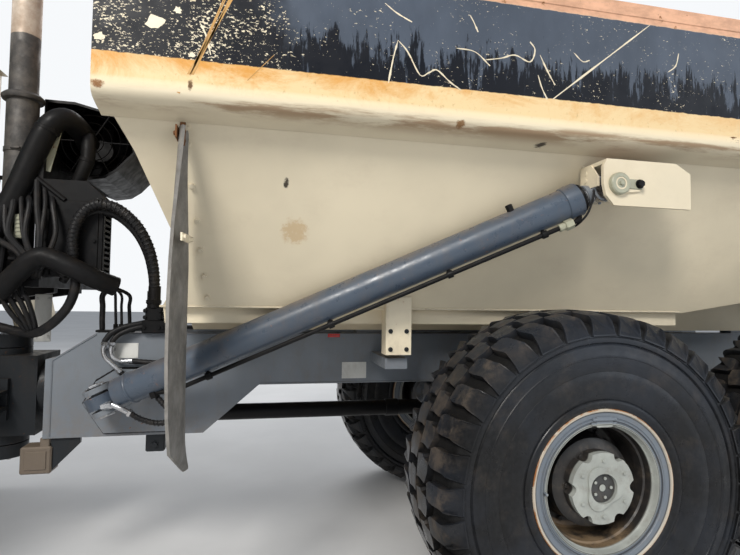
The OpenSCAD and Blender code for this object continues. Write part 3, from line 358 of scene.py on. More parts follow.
def body_paint():
    """Cream enamel with a dark faded band, a bare rail, rust runs, scuffs and shallow dents."""
    c = colours()
    m = Finish("body_enamel")
    x, y, z = m.split()
    wide = m.noise(0.9, 4, 0.55)
    m.base = m.mix(m.step(wide, 0.3, 0.7), tint(c.cream, 0.93), tint(c.cream, 1.1))
    grime = m.blots(0.46, 0.8, 4, 9, 0.72, (0.6, 1, 0.9))
    m.over(grime, tint(c.mud, 2.2), 0.22)
    # the strip between the band and the bend: yellowed, with orange clouds that thin out backwards
    strip = m.window(z, 2.655, 2.695, 2.86, 2.8)
    m.over(strip, STRIP_CREAM)
    clouds = m.step(m.plus(m.noise(3.2, 10, 0.76, (0.8, 1, 1.3), distortion=0.6), m.step(z, 2.7, 2.8, -0.07, 0.05)),
        0.42, 0.68)
    ahead = m.step(x, BOGIE.x - 1.6, BOGIE.x + 2.3, 0.35, 1.0)
    stain = m.times(m.times(strip, clouds), ahead)
    m.over(stain, STRIP_ORANGE, 0.92)
    drips = m.blots(0.56, 0.74, 1.0, 6, 0.66, (15, 1, 2.6))
    m.over(m.times(strip, drips), STRIP_ORANGE, 0.3)
    grit = m.blots(0.6, 0.66, 60, 5, 0.7, (1, 1, 0.6))
    m.over(m.times(strip, grit), (0.36, 0.21, 0.07), 0.35)
    # a painted highlight along the rolled bend, with brown smears and rust spots under it
    roll = m.window(z, 2.64, 2.665, 2.715, 2.69)
    m.over(roll, tint(c.cream, 1.22), 0.55)
    bend = m.window(z, 2.595, 2.625, 2.675, 2.645)
    smear = m.blots(0.47, 0.6, 1.5, 7, 0.68, (0.8, 1, 10))
    m.over(m.times(bend, smear), (0.27, 0.15, 0.07), 0.75)
    spots = m.blots(0.655, 0.7, 7.5, 7, 0.75, (0.7, 1, 2.2))
    edge = m.window(z, 2.63, 2.66, 2.73, 2.7)
    m.over(m.times(edge, spots), tint(c.rust, 0.3))
    # a rust bloom and a few dark knocks, where the photo shows them
    for where_x, where_z, wide_x, wide_z, mark, share in STAINS:
        across = m.math("DIVIDE", m.math("SUBTRACT", x, where_x), wide_x)
        upward = m.math("DIVIDE", m.math("SUBTRACT", z, where_z), wide_z)
        far = m.plus(m.times(across, across), m.times(upward, upward))
        uneven = m.plus(far, m.times(m.noise(34, 6, 0.75), 2.6))
        spot = m.step(uneven, 2.15, 1.45)
        m.over(spot, mark, share)
    freckle_field = m.noise(24, 7, 0.7)
    m.over(m.step(freckle_field, 0.735, 0.8), tint(c.rust, 1.5))
    m.over(m.step(freckle_field, 0.775, 0.79), tint(c.rust, 0.3))
    band = faded_band(m, z)
    ragged = m.times(m.math("SUBTRACT", m.noise(22, 4, 0.6), 0.5), 0.012)
    height = m.plus(z, ragged)
    in_band = m.window(height, 2.806, 2.811, 3.268, 3.262)
    side = m.step(m.math("ABSOLUTE", y), 1.535, 1.545)
    m.over(m.times(in_band, side), band)
    # the cap along the rail, worn to pinkish rust
    cap = m.step(height, 3.262, 3.268)
    cap_colour = m.mix(m.blots(0.35, 0.68, 6, 8, 0.72, (1, 1, 2)), c.rail, tint(c.rail, 0.7))
    cap_colour = m.mix(m.blots(0.6, 0.66, 11, 6, 0.7), cap_colour, tint(c.rust, 0.5))
    m.over(cap, cap_colour)
    # inside the load space the paint is gone: scraped, rusty steel with dust
    nx, ny, nz = m.split(m.facing)
    inward = m.step(m.times(ny, m.math("SIGN", y)), -0.3, -0.36)
    floor = m.times(m.step(nz, 0.55, 0.75), m.step(z, 3.3, 3.2))
    front = m.times(m.step(nx, -0.55, -0.75), m.step(x, BOGIE.x + 1.5, BOGIE.x + 1.8))
    worn = m.math("MAXIMUM", inward, m.math("MAXIMUM", floor, front))
    scraped = m.mix(m.blots(0.35, 0.65, 3, 8, 0.7, (0.35, 1, 1)), (0.24, 0.17, 0.13), (0.33, 0.32, 0.31))
    scraped = m.mix(m.blots(0.52, 0.66, 8, 8, 0.72), scraped, tint(c.rust, 0.8))
    m.over(worn, scraped)
    gloss = m.step(m.noise(12, 6, 0.6), 0.3, 0.7, 0.3, 0.52)
    gloss = m.plus(gloss, m.times(worn, 0.2))
    normal = m.bump(m.noise(1.7, 2, 0.45), 0.42, 0.02)
    normal = m.bump(m.noise(90, 3, 0.5), 0.06, 0.001, normal)
    return m.close(gloss, 0.0, normal, 0.18)


def tyre_rubber():
    """Black rubber: blue-grey on the side walls, partly the rubber's own film and partly painted sheen, a painted
    bluish sheen higher up, brown mud on the blocks, and painted shade, near black, in the grooves.

    The tyre's UV holds how far out on the tread a point is, and how deep it is in a groove, which sets where the
    painted shade goes.
    """
    c = colours()
    m = Finish("tyre_rubber")
    tread, groove, _ = m.split(m.uv)
    fine = m.noise(40, 6, 0.7)
    m.base = m.mix(m.step(fine, 0.35, 0.7), tint(c.rubber, 0.35), tint(c.rubber, 0.75))
    # blue-grey patches: real rubber bloom, and also a painted sheen of the sky
    bloom_and_sheen = m.blots(0.38, 0.68, 2.6, 6, 0.62)
    m.over(bloom_and_sheen, (0.022, 0.027, 0.038), 0.45)
    # painted sheen: higher up, the tyre is made lighter and bluer, as if lit by the sky
    upper = m.step(m.split()[2], 1.05, 1.6)
    m.over(upper, (0.05, 0.06, 0.078), 0.22)
    mud = m.blots(0.46, 0.66, 9, 8, 0.72)
    m.over(m.times(mud, m.times(tread, 0.42)), tint(c.mud, 0.72))
    dust = m.blots(0.5, 0.8, 6, 9, 0.75)
    m.over(dust, tint(c.mud, 0.8), 0.2)
    # painted shade: the floors of the grooves are darkened to near black
    m.over(groove, (0.0035, 0.0033, 0.0033), 0.93)
    gloss = m.step(m.noise(9, 6, 0.65), 0.35, 0.65, 0.26, 0.5)
    gloss = m.plus(gloss, m.times(groove, 0.45))
    normal = m.bump(m.noise(70, 6, 0.7), 0.22, 0.002)
    return m.close(gloss, 0.0, normal, 0.26)


def wheel_paint():
    """Worn paint on the rims: rusty flange, blue-grey lock ring, and painted shade, near black, deep inside the rim,
    along its grooves, behind the hub's cover and in the hub's recess.

    The wheel's UV holds the distance from its axle and the depth along it.
    """
    c = colours()
    m = Finish("wheel_enamel")
    radius, depth, _ = m.split(m.uv)
    fade = m.noise(6, 6, 0.62)
    m.base = m.mix(m.step(fade, 0.3, 0.7), tint(c.rim, 0.8), tint(c.rim, 1.12))
    ring = m.window(radius, 0.318, 0.326, 0.378, 0.372)
    m.over(ring, (0.11, 0.135, 0.175), 0.85)
    flange = m.step(radius, 0.372, 0.38)
    m.over(flange, (0.5, 0.43, 0.34), 0.9)
    ragged = m.plus(radius, m.times(m.noise(14, 7, 0.7), 0.012))
    rusty = m.times(m.step(ragged, 0.39, 0.396), m.blots(0.4, 0.55, 9, 7, 0.7))
    m.over(rusty, tint(c.rust, 0.7))
    chips = m.blots(0.69, 0.71, 30, 6, 0.7)
    m.over(chips, tint(c.rust, 0.4))
    # painted shade: deep inside the rim it is near black; low down, tan dirt shows, painted as where light reaches
    inside = m.times(m.step(radius, 0.3065, 0.3045), m.step(depth, 0.262, 0.25))
    low = m.step(m.split()[2], 0.68, 0.6)
    shade_and_dirt = m.mix(m.times(low, m.blots(0.35, 0.6, 8, 7, 0.7)), (0.022, 0.02, 0.019), (0.22, 0.15, 0.085))
    m.over(inside, shade_and_dirt)
    # painted shade: dark lines along the rim's grooves
    for line in (0.3165, 0.3335, 0.3725):
        groove = m.window(radius, line - 0.004, line - 0.001, line + 0.004, line + 0.001)
        m.over(groove, (0.02, 0.02, 0.022), 0.75)
    # painted shade: near black behind the disc, round the hub
    behind = m.times(m.step(radius, 0.27, 0.255), m.step(depth, 0.206, 0.19))
    m.over(behind, (0.012, 0.012, 0.013))
    # painted shade: darker in the hub's recess
    recess = m.times(m.step(radius, 0.074, 0.071), m.step(depth, 0.2795, 0.2785))
    m.over(recess, (0.045, 0.045, 0.045))
    grime = m.blots(0.47, 0.72, 16, 8, 0.72)
    m.over(grime, tint(c.mud, 0.8), 0.35)
    gloss = m.step(m.noise(17, 5, 0.6), 0.3, 0.7, 0.36, 0.6)
    normal = m.bump(m.noise(110, 3, 0.5), 0.1, 0.001)
    return m.close(gloss, 0.0, normal)


def plated_steel():
    """Ground and plated steel with faint rings, smears of grease and a little dust."""
    c = colours()
    m = Finish("plated_steel")
    rings = m.noise(160, 3, 0.5, (0.15, 1, 1))
    smear = m.blots(0.42, 0.7, 7, 6, 0.65)
    m.base = m.mix(m.step(rings, 0.3, 0.7), tint(c.steel, 0.85), tint(c.steel, 1.1))
    m.over(smear, tint(c.mud, 0.8), 0.5)
    gloss = m.step(m.noise(12, 5, 0.6), 0.35, 0.7, 0.14, 0.42)
    return m.close(gloss, 0.9, m.bump(rings, 0.08, 0.0006))


def dusty_plastic(name, colour, dust, roughness=0.5, grain=220):
    """Moulded plastic or rubber: a fine grain with dust in it."""
    m = Finish(name)
    cloud = m.noise(6, 7, 0.68)
    m.base = m.mix(m.step(cloud, 0.35, 0.7), tint(colour, 0.75), tint(colour, 1.35))
    up = m.split(m.facing)[2]
    settled = m.times(m.step(up, 0.2, 0.95, 0.15, 0.7), m.blots(0.4, 0.7, 15, 8, 0.7))
    m.over(settled, dust)
    gloss = m.step(m.noise(20, 5, 0.6), 0.3, 0.7, roughness - 0.1, roughness + 0.15)
    return m.close(gloss, 0.0, m.bump(m.noise(grain, 2, 0.5), 0.22, 0.0008), shine=0.14)


def hose_rubber():
    """Black hose cover: a wrapped weave that follows the hose, with dust."""
    c = colours()
    m = Finish("hose_rubber")
    weave = m.wave("DIAGONAL", 1.0, m.stretched((90, 3, 1), m.uv))
    m.base = m.mix(weave, tint(c.black, 0.4), tint(c.black, 1.5))
    dust = m.blots(0.45, 0.7, 18, 7, 0.7)
    m.over(dust, tint(c.mud, 0.8), 0.1)
    return m.close(0.42, 0.0, m.bump(weave, 0.35, 0.0012), 0.2)


def exhaust_metal():
    """Heat-tanned pipe above a dark sleeve."""
    m = Finish("exhaust_metal")
    z = m.split()[2]
    ragged = m.plus(z, m.times(m.noise(30, 4, 0.6), 0.01))
    tan = m.mix(m.blots(0.35, 0.7, 9, 7, 0.7), (0.36, 0.27, 0.2), (0.5, 0.42, 0.34))
    sleeve = m.mix(m.blots(0.35, 0.7, 14, 7, 0.7), (0.045, 0.042, 0.04), (0.1, 0.09, 0.08))
    m.base = m.mix(m.step(ragged, EXHAUST_SPLIT, EXHAUST_SPLIT + 0.006), sleeve, tan)
    gloss = m.step(m.noise(12, 5, 0.6), 0.3, 0.7, 0.45, 0.75)
    return m.close(gloss, 0.25, m.bump(m.noise(60, 5, 0.6), 0.15, 0.001))


def mirror_glass():
    """Silvered glass with a film of dust."""
    m = Finish("mirror_glass")
    film = m.blots(0.45, 0.75, 14, 6, 0.7)
    m.base = m.mix(m.times(film, 0.3), (0.8, 0.82, 0.84), (0.45, 0.42, 0.38))
    return m.close(m.step(film, 0.0, 1.0, 0.03, 0.25), 1.0)


def window_glass():
    """Tinted safety glass with a film of dust."""
    c = colours()
    m = Finish("window_glass")
    film = m.step(m.noise(5, 8, 0.7), 0.35, 0.75, 0.02, 0.14)
    m.base = m.mix(m.blots(0.4, 0.7, 3, 6, 0.6), c.glass, tint(c.glass, 0.85))
    m.fill(m.shader, {"Transmission Weight": 0.86, "IOR": 1.1})
    return m.close(film)


def lamp_lens(name, colour):
    """Ribbed coloured lens."""
    m = Finish(name)
    ribs = m.wave("Z", 30.0, m.place)
    m.base = m.mix(ribs, tint(colour, 0.7), tint(colour, 1.15))
    return m.close(0.18, 0.0, m.bump(ribs, 0.4, 0.0015))


def make_materials():
    """Every finish, by the name that the pieces ask for."""
    c = colours()
    rust, mud = tuple(c.rust), tuple(c.mud)
    # key, material's name, colour, rust, dust, chips, roughness, heights between which splashed mud thins out
    paints = (("cream", "cream_enamel", c.cream, rust, tint(mud, 1.6), 0.35),
        ("white", "post_enamel", tint(c.cream, 1.08), rust, tint(mud, 1.5), 0.6),
        ("grey", "frame_enamel", c.grey, rust, tint(mud, 0.9), 0.45, 0.4, 0.7, 1.25),
        # a much darker copy of the frame grey: painted shade for greasy parts that lie in shadow
        ("greasy", "greasy_enamel", tint(c.grey, 0.13), tint(rust, 0.35), tint(mud, 0.3), 0.8, 0.36),
        ("gouge", "gouged_enamel", (0.5, 0.27, 0.07), tint(rust, 0.8), tint(mud, 1.5), 0.0, 0.5),
        ("plated", "plated_iron", (0.34, 0.34, 0.25), tint(rust, 0.6), mud, 0.9, 0.34),
        ("muddy", "muddy_iron", (0.135, 0.105, 0.078), tint(rust, 0.5), mud, 0.35, 0.5),
        ("plate", "blank_plate", (0.66, 0.66, 0.63), rust, mud, 0.2, 0.4),
        # the cylinders' dark blue-grey is partly their paint and partly a painted reflection of the sky
        ("cylinder", "cylinder_enamel", (0.058, 0.078, 0.108), rust, tint(mud, 0.9), 0.45, 0.33),
        ("black", "black_enamel", tint(c.black, 0.55), tint(rust, 0.25), tint(mud, 0.12), 0.2, 0.38),
        ("rusty", "rusty_iron", tint(rust, 0.42), tint(rust, 0.5), tint(mud, 0.9), 0.9, 0.7))
    made = {key: worn_paint(*values) for key, *values in paints}
    plastics = (("flap", "flap_rubber", c.flap, tint(mud, 1.1), 0.6, 140),
        ("trim", "cab_trim", c.trim, tint(mud, 0.6), 0.6), ("gasket", "gasket_rubber", tint(c.black, 0.55),
        tint(mud, 0.12), 0.46))
    made.update((key, dusty_plastic(*values)) for key, *values in plastics)
    return made | {"body": body_paint(), "rim": wheel_paint(), "rubber": tyre_rubber(), "hose": hose_rubber(),
        "steel": plated_steel(), "mirror": mirror_glass(), "exhaust": exhaust_metal(), "glass": window_glass(),
        "clear_lamp": lamp_lens("clear_lamp", (0.78, 0.8, 0.8)), "red_lamp": lamp_lens("red_lamp", c.reflector)}


EXHAUST_SPLIT = 3.325
BAND_FADED = (0.08, 0.098, 0.13)
# stains on the body side: X and Z of the middle, half width and height, colour, strength
STAINS = ((-0.148, 2.138, 0.085, 0.08, (0.5, 0.32, 0.14), 0.55), (-0.092, 2.365, 0.017, 0.032, (0.03, 0.022, 0.016),
    0.95), (-1.38, 2.603, 0.036, 0.009, (0.03, 0.024, 0.02), 0.95), (-0.905, 2.64, 0.03, 0.022, (0.2, 0.09, 0.025),
    0.9), (0.34, 2.7, 0.014, 0.034, (0.1, 0.045, 0.012), 0.95), (0.705, 2.668, 0.034, 0.022, (0.22, 0.08, 0.015),
    0.9))
STRIP_CREAM = (0.76, 0.575, 0.32)
STRIP_ORANGE = (0.62, 0.275, 0.04)
materials = {}


def finished(mesh, name, material, body, slot=None, smooth=35, extra=()):
    """Turns a bmesh into a piece that rides on a body."""
    bmesh.ops.remove_doubles(mesh, verts=mesh.verts, dist=0.00001)
    bmesh.ops.recalc_face_normals(mesh, faces=mesh.faces)
    data = bpy.data.meshes.new(name)
    mesh.to_mesh(data)
    mesh.free()
    for key in (material, *extra):
        data.materials.append(materials[key])
    data.shade_smooth()
    data.set_sharp_from_angle(angle=math.radians(smooth))
    piece = bpy.data.objects.new(name, data)
    bpy.context.scene.collection.objects.link(piece)
    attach(piece, body)
    return piece


def sided(mesh, side, name, *rest):
    """Turns a bmesh built for the left side into a piece of either side."""
    if side == "right":
        bmesh.ops.scale(mesh, vec=(1, -1, 1), verts=mesh.verts)
        bmesh.ops.reverse_faces(mesh, faces=mesh.faces)
    return finished(mesh, f"{name}_{side}", *rest)


def each_once(items):
    """The items in the order they come, without repeats."""
    return list(dict.fromkeys(items))


def verts_of(made):
    return [v for v in made["geom"] if isinstance(v, bmesh.types.BMVert)]


def ease(mesh, edges, width, segments=1):
    """Bevels edges and gives back the faces that take their place."""
    return bmesh.ops.bevel(mesh, geom=edges, offset=width, segments=segments, profile=0.5, affect="EDGES",
        material=-1)["faces"]


def add_box(mesh, low, high, bevel=0.002, turn=None, segments=1):
    """A box between two corners, with eased edges, turned about its middle."""
    low, high = Vector(low), Vector(high)
    place = Matrix.Translation((low + high) / 2) @ (turn or Matrix.Identity(4))
    place = place @ Matrix.Diagonal((*map(abs, high - low), 1))
    made = bmesh.ops.create_cube(mesh, size=1, matrix=place)
    if bevel:
        ease(mesh, each_once(e for v in made["verts"] for e in v.link_edges), bevel, segments)


def along(start, end):
    """The turn and shift that lay the Z axis from start towards end."""
    start, end = Vector(start), Vector(end)
    return Matrix.Translation(start) @ (end - start).to_track_quat("Z", "Y").to_matrix().to_4x4()


def add_bar(mesh, start, end, radius, sides=20, bevel=0.0015, end_radius=None):
    """A round bar or a cone from start to end, its rims eased."""
    length = (Vector(end) - Vector(start)).length
    place = along(start, end) @ Matrix.Translation((0, 0, length / 2))
    made = bmesh.ops.create_cone(mesh, cap_ends=True, segments=sides, radius1=radius,
        radius2=radius if end_radius is None else end_radius, depth=length, matrix=place)
    if bevel:
        edges = each_once(e for v in made["verts"] for e in v.link_edges)
        rims = [e for e in edges if any(len(f.verts) > 4 for f in e.link_faces)]
        ease(mesh, rims, min(bevel, length / 3))


def add_bolt(mesh, point, outward, size=None, washer=True):
    """A hexagon head on a washer, standing on a face."""
    size = size or fittings().bolt
    point, outward = Vector(point), Vector(outward).normalized()
    if washer:
        add_bar(mesh, point - outward * 0.001, point + outward * size * 0.12, size * 0.72, 16, 0.0006)
    add_bar(mesh, point, point + outward * size * 0.62, size * 0.56, 6, size * 0.05)


def add_spin(mesh, profile, place, steps=48):
    """Turns a profile of (distance along the axis, radius) points about the Z axis of a place."""
    verts = [mesh.verts.new((radius, 0, depth)) for depth, radius in profile]
    edges = [mesh.edges.new(pair) for pair in zip(verts, verts[1:])]
    before = set(mesh.verts) - set(verts)
    bmesh.ops.spin(mesh, geom=verts + edges, cent=(0, 0, 0), axis=(0, 0, 1), angle=math.tau, steps=steps,
        use_merge=True)
    bmesh.ops.transform(mesh, matrix=place, verts=[v for v in mesh.verts if v not in before])


def add_plate(mesh, outline, thickness, place, bevel=0.002):
    """A flat plate cut to an outline in its own X and Y, thickened along Z."""
    verts = [mesh.verts.new((x, y, 0)) for x, y in outline]
    face = mesh.faces.new(verts)
    made = bmesh.ops.extrude_face_region(mesh, geom=[face])
    top = verts_of(made)
    bmesh.ops.translate(mesh, vec=(0, 0, thickness), verts=top)
    edges = each_once(e for v in top for e in v.link_edges if all(end in top for end in e.verts))
    if bevel:
        eased = ease(mesh, edges, bevel)
        top = [v for v in top if v.is_valid] + [v for f in eased for v in f.verts]
    bmesh.ops.transform(mesh, matrix=place, verts=each_once([v for v in verts if v.is_valid] + top))


def smooth_path(points, per_span=6):
    """A Catmull-Rom curve through given points."""
    points = [Vector(p) for p in points]
    points = [2 * points[0] - points[1], *points, 2 * points[-1] - points[-2]]
    path = []
    for a, b, c, d in zip(points, points[1:], points[2:], points[3:]):
        for i in range(per_span):
            t = i / per_span
            path.append(0.5 * (2 * b + (c - a) * t + (2 * a - 5 * b + 4 * c - d) * t * t + (
                3 * b - a - 3 * c + d) * t**3))
    return path + [points[-2]]


def add_tube(mesh, points, diameter, per_span=6, sides=12, ribs=0.0):
    """A hose or pipe along a smooth route, with its length in U and its girth in V."""
    path = smooth_path(points, per_span)
    layer = mesh.loops.layers.uv.verify()
    ring_verts = []
    side = (path[1] - path[0]).orthogonal().normalized()
    run = [0.0]
    for a, b in zip(path, path[1:]):
        run.append(run[-1] + (b - a).length)
    for i, point in enumerate(path):
        ahead = (path[min(i + 1, len(path) - 1)] - path[max(i - 1, 0)]).normalized()
        side = (side - ahead * side.dot(ahead)).normalized()
        other = ahead.cross(side)
        radius = diameter / 2 * (1 + (ribs if i % 2 else 0))
        place = Matrix((side, other, ahead)).transposed().to_4x4()
        place.translation = point
        ring = bmesh.ops.create_circle(mesh, cap_ends=False, segments=sides, radius=radius, matrix=place)
        ring_verts.append(ring["verts"])
    for i, (low, high) in enumerate(zip(ring_verts, ring_verts[1:])):
        for k in range(sides):
            m = (k + 1) % sides
            face = mesh.faces.new((low[k], low[m], high[m], high[k]))
            corners = ((run[i], k), (run[i], k + 1), (run[i + 1], k + 1), (run[i + 1], k))
            for loop, (u, v) in zip(face.loops, corners):
                loop[layer].uv = (u, v / sides)
    for ring in (ring_verts[0], ring_verts[-1]):
        mesh.faces.new(ring)


def add_guard(mesh, points, diameter, per_span=6, pitch=0.024, wire=0.011):
    """A spiral guard wound round a hose that follows the same points."""
    path = smooth_path(points, per_span)
    side = (path[1] - path[0]).orthogonal().normalized()
    wound, run = [], 0.0
    for a, b in zip(path, path[1:]):
        ahead = (b - a).normalized()
        side = (side - ahead * side.dot(ahead)).normalized()
        other = ahead.cross(side)
        steps = max(1, round((b - a).length / pitch * 8))
        for k in range(steps):
            turn = math.tau * (run + (b - a).length * k / steps) / pitch
            wound.append(a.lerp(b, k / steps) + (side * math.cos(turn) + other * math.sin(turn)) * diameter / 2)
        run += (b - a).length
    add_tube(mesh, wound, wire, 1, 4)


def dress(nodes, material):
    """Gives CAD nodes their finish."""
    for name in nodes:
        data = frame["nodes"][name].data
        data.materials.clear()
        data.materials.append(materials[material])


def smooth_node(name):
    """Softens the shading of a CAD node's round faces."""
    data = frame["nodes"][name].data
    data.shade_smooth()
    data.set_sharp_from_angle(angle=math.radians(30))


def tread_point(across, height):
    """Depth and radius of a point on the tread: across is measured over the crown and down the shoulder."""
    s = tyre_sizes()
    base = TYRE_R - s.lug_height
    crown_half = TYRE_HALF - 0.045
    turn_r = 0.04
    side = 1 if across >= 0 else -1
    a = abs(across)
    drop = 0.022 * (min(a, crown_half) / crown_half) ** 2
    if a <= crown_half:
        return side * a, base - drop + height
    arc = (a - crown_half) / turn_r
    steep = math.radians(78)
    if arc <= steep:
        depth = crown_half + (turn_r + height * 0.25) * math.sin(arc)
        radius = base - drop - turn_r * (1 - math.cos(arc)) + height * math.cos(arc)
        return side * depth, radius
    rest = a - crown_half - steep * turn_r
    depth = crown_half + turn_r * math.sin(steep) + height * 0.25 + rest * math.cos(steep)
    radius = base - drop - turn_r * (1 - math.cos(steep)) - rest * math.sin(steep)
    return side * depth, radius


def add_lug(mesh, outline, turn, height):
    """One rubber block: its outline is (share of a pitch, distance across), bent round the tyre."""
    taper = 0.9
    s = tyre_sizes()
    pitch = math.tau / s.pitches
    verts = [mesh.verts.new((x, y, 0)) for x, y in outline]
    face = mesh.faces.new(verts)
    made = bmesh.ops.extrude_face_region(mesh, geom=[face])
    top = verts_of(made)
    middle_x = sum(v.co.x for v in top) / len(top)
    for v in top:
        v.co.x = middle_x + (v.co.x - middle_x) * taper
        v.co.z = 1
    edges = [e for f in top[0].link_faces if all(v in top for v in f.verts) for e in f.edges]
    eased = ease(mesh, edges, 0.006)
    block = {v for v in verts if v.is_valid} | {v for v in top if v.is_valid}
    block |= {v for f in eased for v in f.verts}
    groove = mesh.verts.layers.float["groove"]
    for v in block:
        lift = -0.15 if v.co.z < 0.01 else v.co.z
        # the block's foot is marked for the groove's painted shade, its top is not
        v[groove] = 1.0 if v.co.z < 0.01 else 0.0
        depth, radius = tread_point(v.co.y, lift * height)
        angle = turn + v.co.x * pitch
        v.co = Vector((radius * math.cos(angle), depth, radius * math.sin(angle)))


def lug_outline(side):
    """The big shoulder block: broad over the shoulder, with a stepped inner end."""
    s = tyre_sizes()
    crown = TYRE_HALF - 0.045
    end = crown + s.shoulder_drop
    rows = ((0.15, 0.24, -0.03), (0.178, 0.33, -0.01), (0.215, 0.34, 0.0), (crown * 0.9, 0.325, 0.02),
        (crown, 0.325, 0.03))
    rows += tuple((crown + step, 0.335 + step * 1.6, 0.03) for step in (0.018, 0.036, 0.054))
    rows += ((end, 0.475, 0.03),)
    right = [(shift + half, side * across) for across, half, shift in rows]
    left = [(shift - half, side * across) for across, half, shift in reversed(rows)]
    return right + left


def middle_outline(side):
    """The block between the middle groove and the shoulder blocks: a slanted six-sided shape."""
    s = tyre_sizes()
    gap = s.groove / 2
    return [(0.36, side * gap), (0.43, side * 0.07), (0.34, side * 0.08), (0.3, side * 0.142),
        (-0.02, side * 0.148), (-0.3, side * 0.13), (-0.42, side * 0.118), (-0.36, side * 0.05), (-0.4, side * gap)]


def tyre_mesh():
    """A tyre about the Y axis at the origin, its outer side towards +Y."""
    s = tyre_sizes()
    mesh = bmesh.new()
    base = TYRE_R - s.lug_height
    bead_r, bead_y = 0.322, 0.272
    flange_r = 0.395
    # each row: how far out from the bead's side, and the radius
    wall = [(-0.02, bead_r), (0.012, bead_r + 0.03), (0.022, flange_r - 0.012), (0.034, flange_r + 0.004),
        (0.042, flange_r + 0.016), (0.044, 0.426), (0.038, 0.436), (0.0345, 0.4375), (0.038, 0.441), (0.046, 0.47),
        (0.0545, 0.53), (0.0585, 0.575), (0.0565, 0.578), (0.0595, 0.582), (0.062, 0.63), (0.0625, 0.647),
        (0.0655, 0.65), (0.0655, 0.654), (0.062, 0.658), (0.0605, 0.69), (0.059, 0.706), (0.05, 0.7125),
        (0.049, 0.7155), (0.06, 0.721), (0.0625, 0.728), (0.06, base - 0.094)]
    wall = [(bead_y + out, radius) for out, radius in wall]
    shoulder = [tread_point(across, -0.004) for across in (0.385, 0.36, 0.34, 0.322, 0.306, TYRE_HALF - 0.045)]
    crown = [tread_point(across, 0.0) for across in (0.23, 0.15, 0.07, 0.0)]
    half = wall + [p for p in shoulder if p[1] > base - 0.098] + crown
    whole = [(-y, r) for y, r in half] + [(y, r) for y, r in reversed(half[:-1])]
    inner = [(bead_y - 0.075, bead_r + 0.006), (-(bead_y - 0.075), bead_r + 0.006)]
    profile = whole + inner + [whole[0]]
    add_spin(mesh, profile, turned(-90, "X"), 132)
    # the groove layer marks the tread's floor between the blocks, which gets painted shade
    groove = mesh.verts.layers.float.new("groove")
    for v in mesh.verts:
        v[groove] = 1.0 if math.hypot(v.co.x, v.co.z) > base - 0.088 else 0.0
    pitch = math.tau / s.pitches
    for i in range(s.pitches):
        for side, offset in ((1, 0.0), (-1, 0.5)):
            add_lug(mesh, lug_outline(side), (i + offset) * pitch, s.lug_height)
            add_lug(mesh, middle_outline(side), (i + offset + 0.5) * pitch, s.lug_height * 0.985)
    bmesh.ops.remove_doubles(mesh, verts=mesh.verts, dist=0.00001)
    bmesh.ops.recalc_face_normals(mesh, faces=mesh.faces)
    layer = mesh.loops.layers.uv.verify()
    for face in mesh.faces:
        for loop in face.loops:
            v = loop.vert.co
            radius = math.hypot(v.x, v.z)
            loop[layer].uv = (min(1.0, max(0.0, (radius - base + 0.04) / 0.05)), loop.vert[groove])
    return mesh


class TRUCK_OT_tyres(bpy.types.Operator):
    """Six tyres with deep block tread, ribbed side walls and dried mud"""

    bl_idname = "truck.tyres"
    bl_label = "Tyres"

    def execute(self, context):
        pattern = tyre_mesh()
        for station in STATIONS:
            for side, sign in SIDES.items():
                place = middle(f"tyre_{station}_{side}")
                mesh = pattern.copy()
                if sign < 0:
                    bmesh.ops.rotate(mesh, cent=(0, 0, 0), matrix=Matrix.Rotation(math.pi, 3, "Z"), verts=mesh.verts)
                bmesh.ops.translate(mesh, vec=place, verts=mesh.verts)
                piece = finished(mesh, f"tread_{station}_{side}", "rubber", f"wheel_{station}_{side}", "tyre", 40)
                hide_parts(f"tyre_{station}_{side}")
        pattern.free()
        return {"FINISHED"}


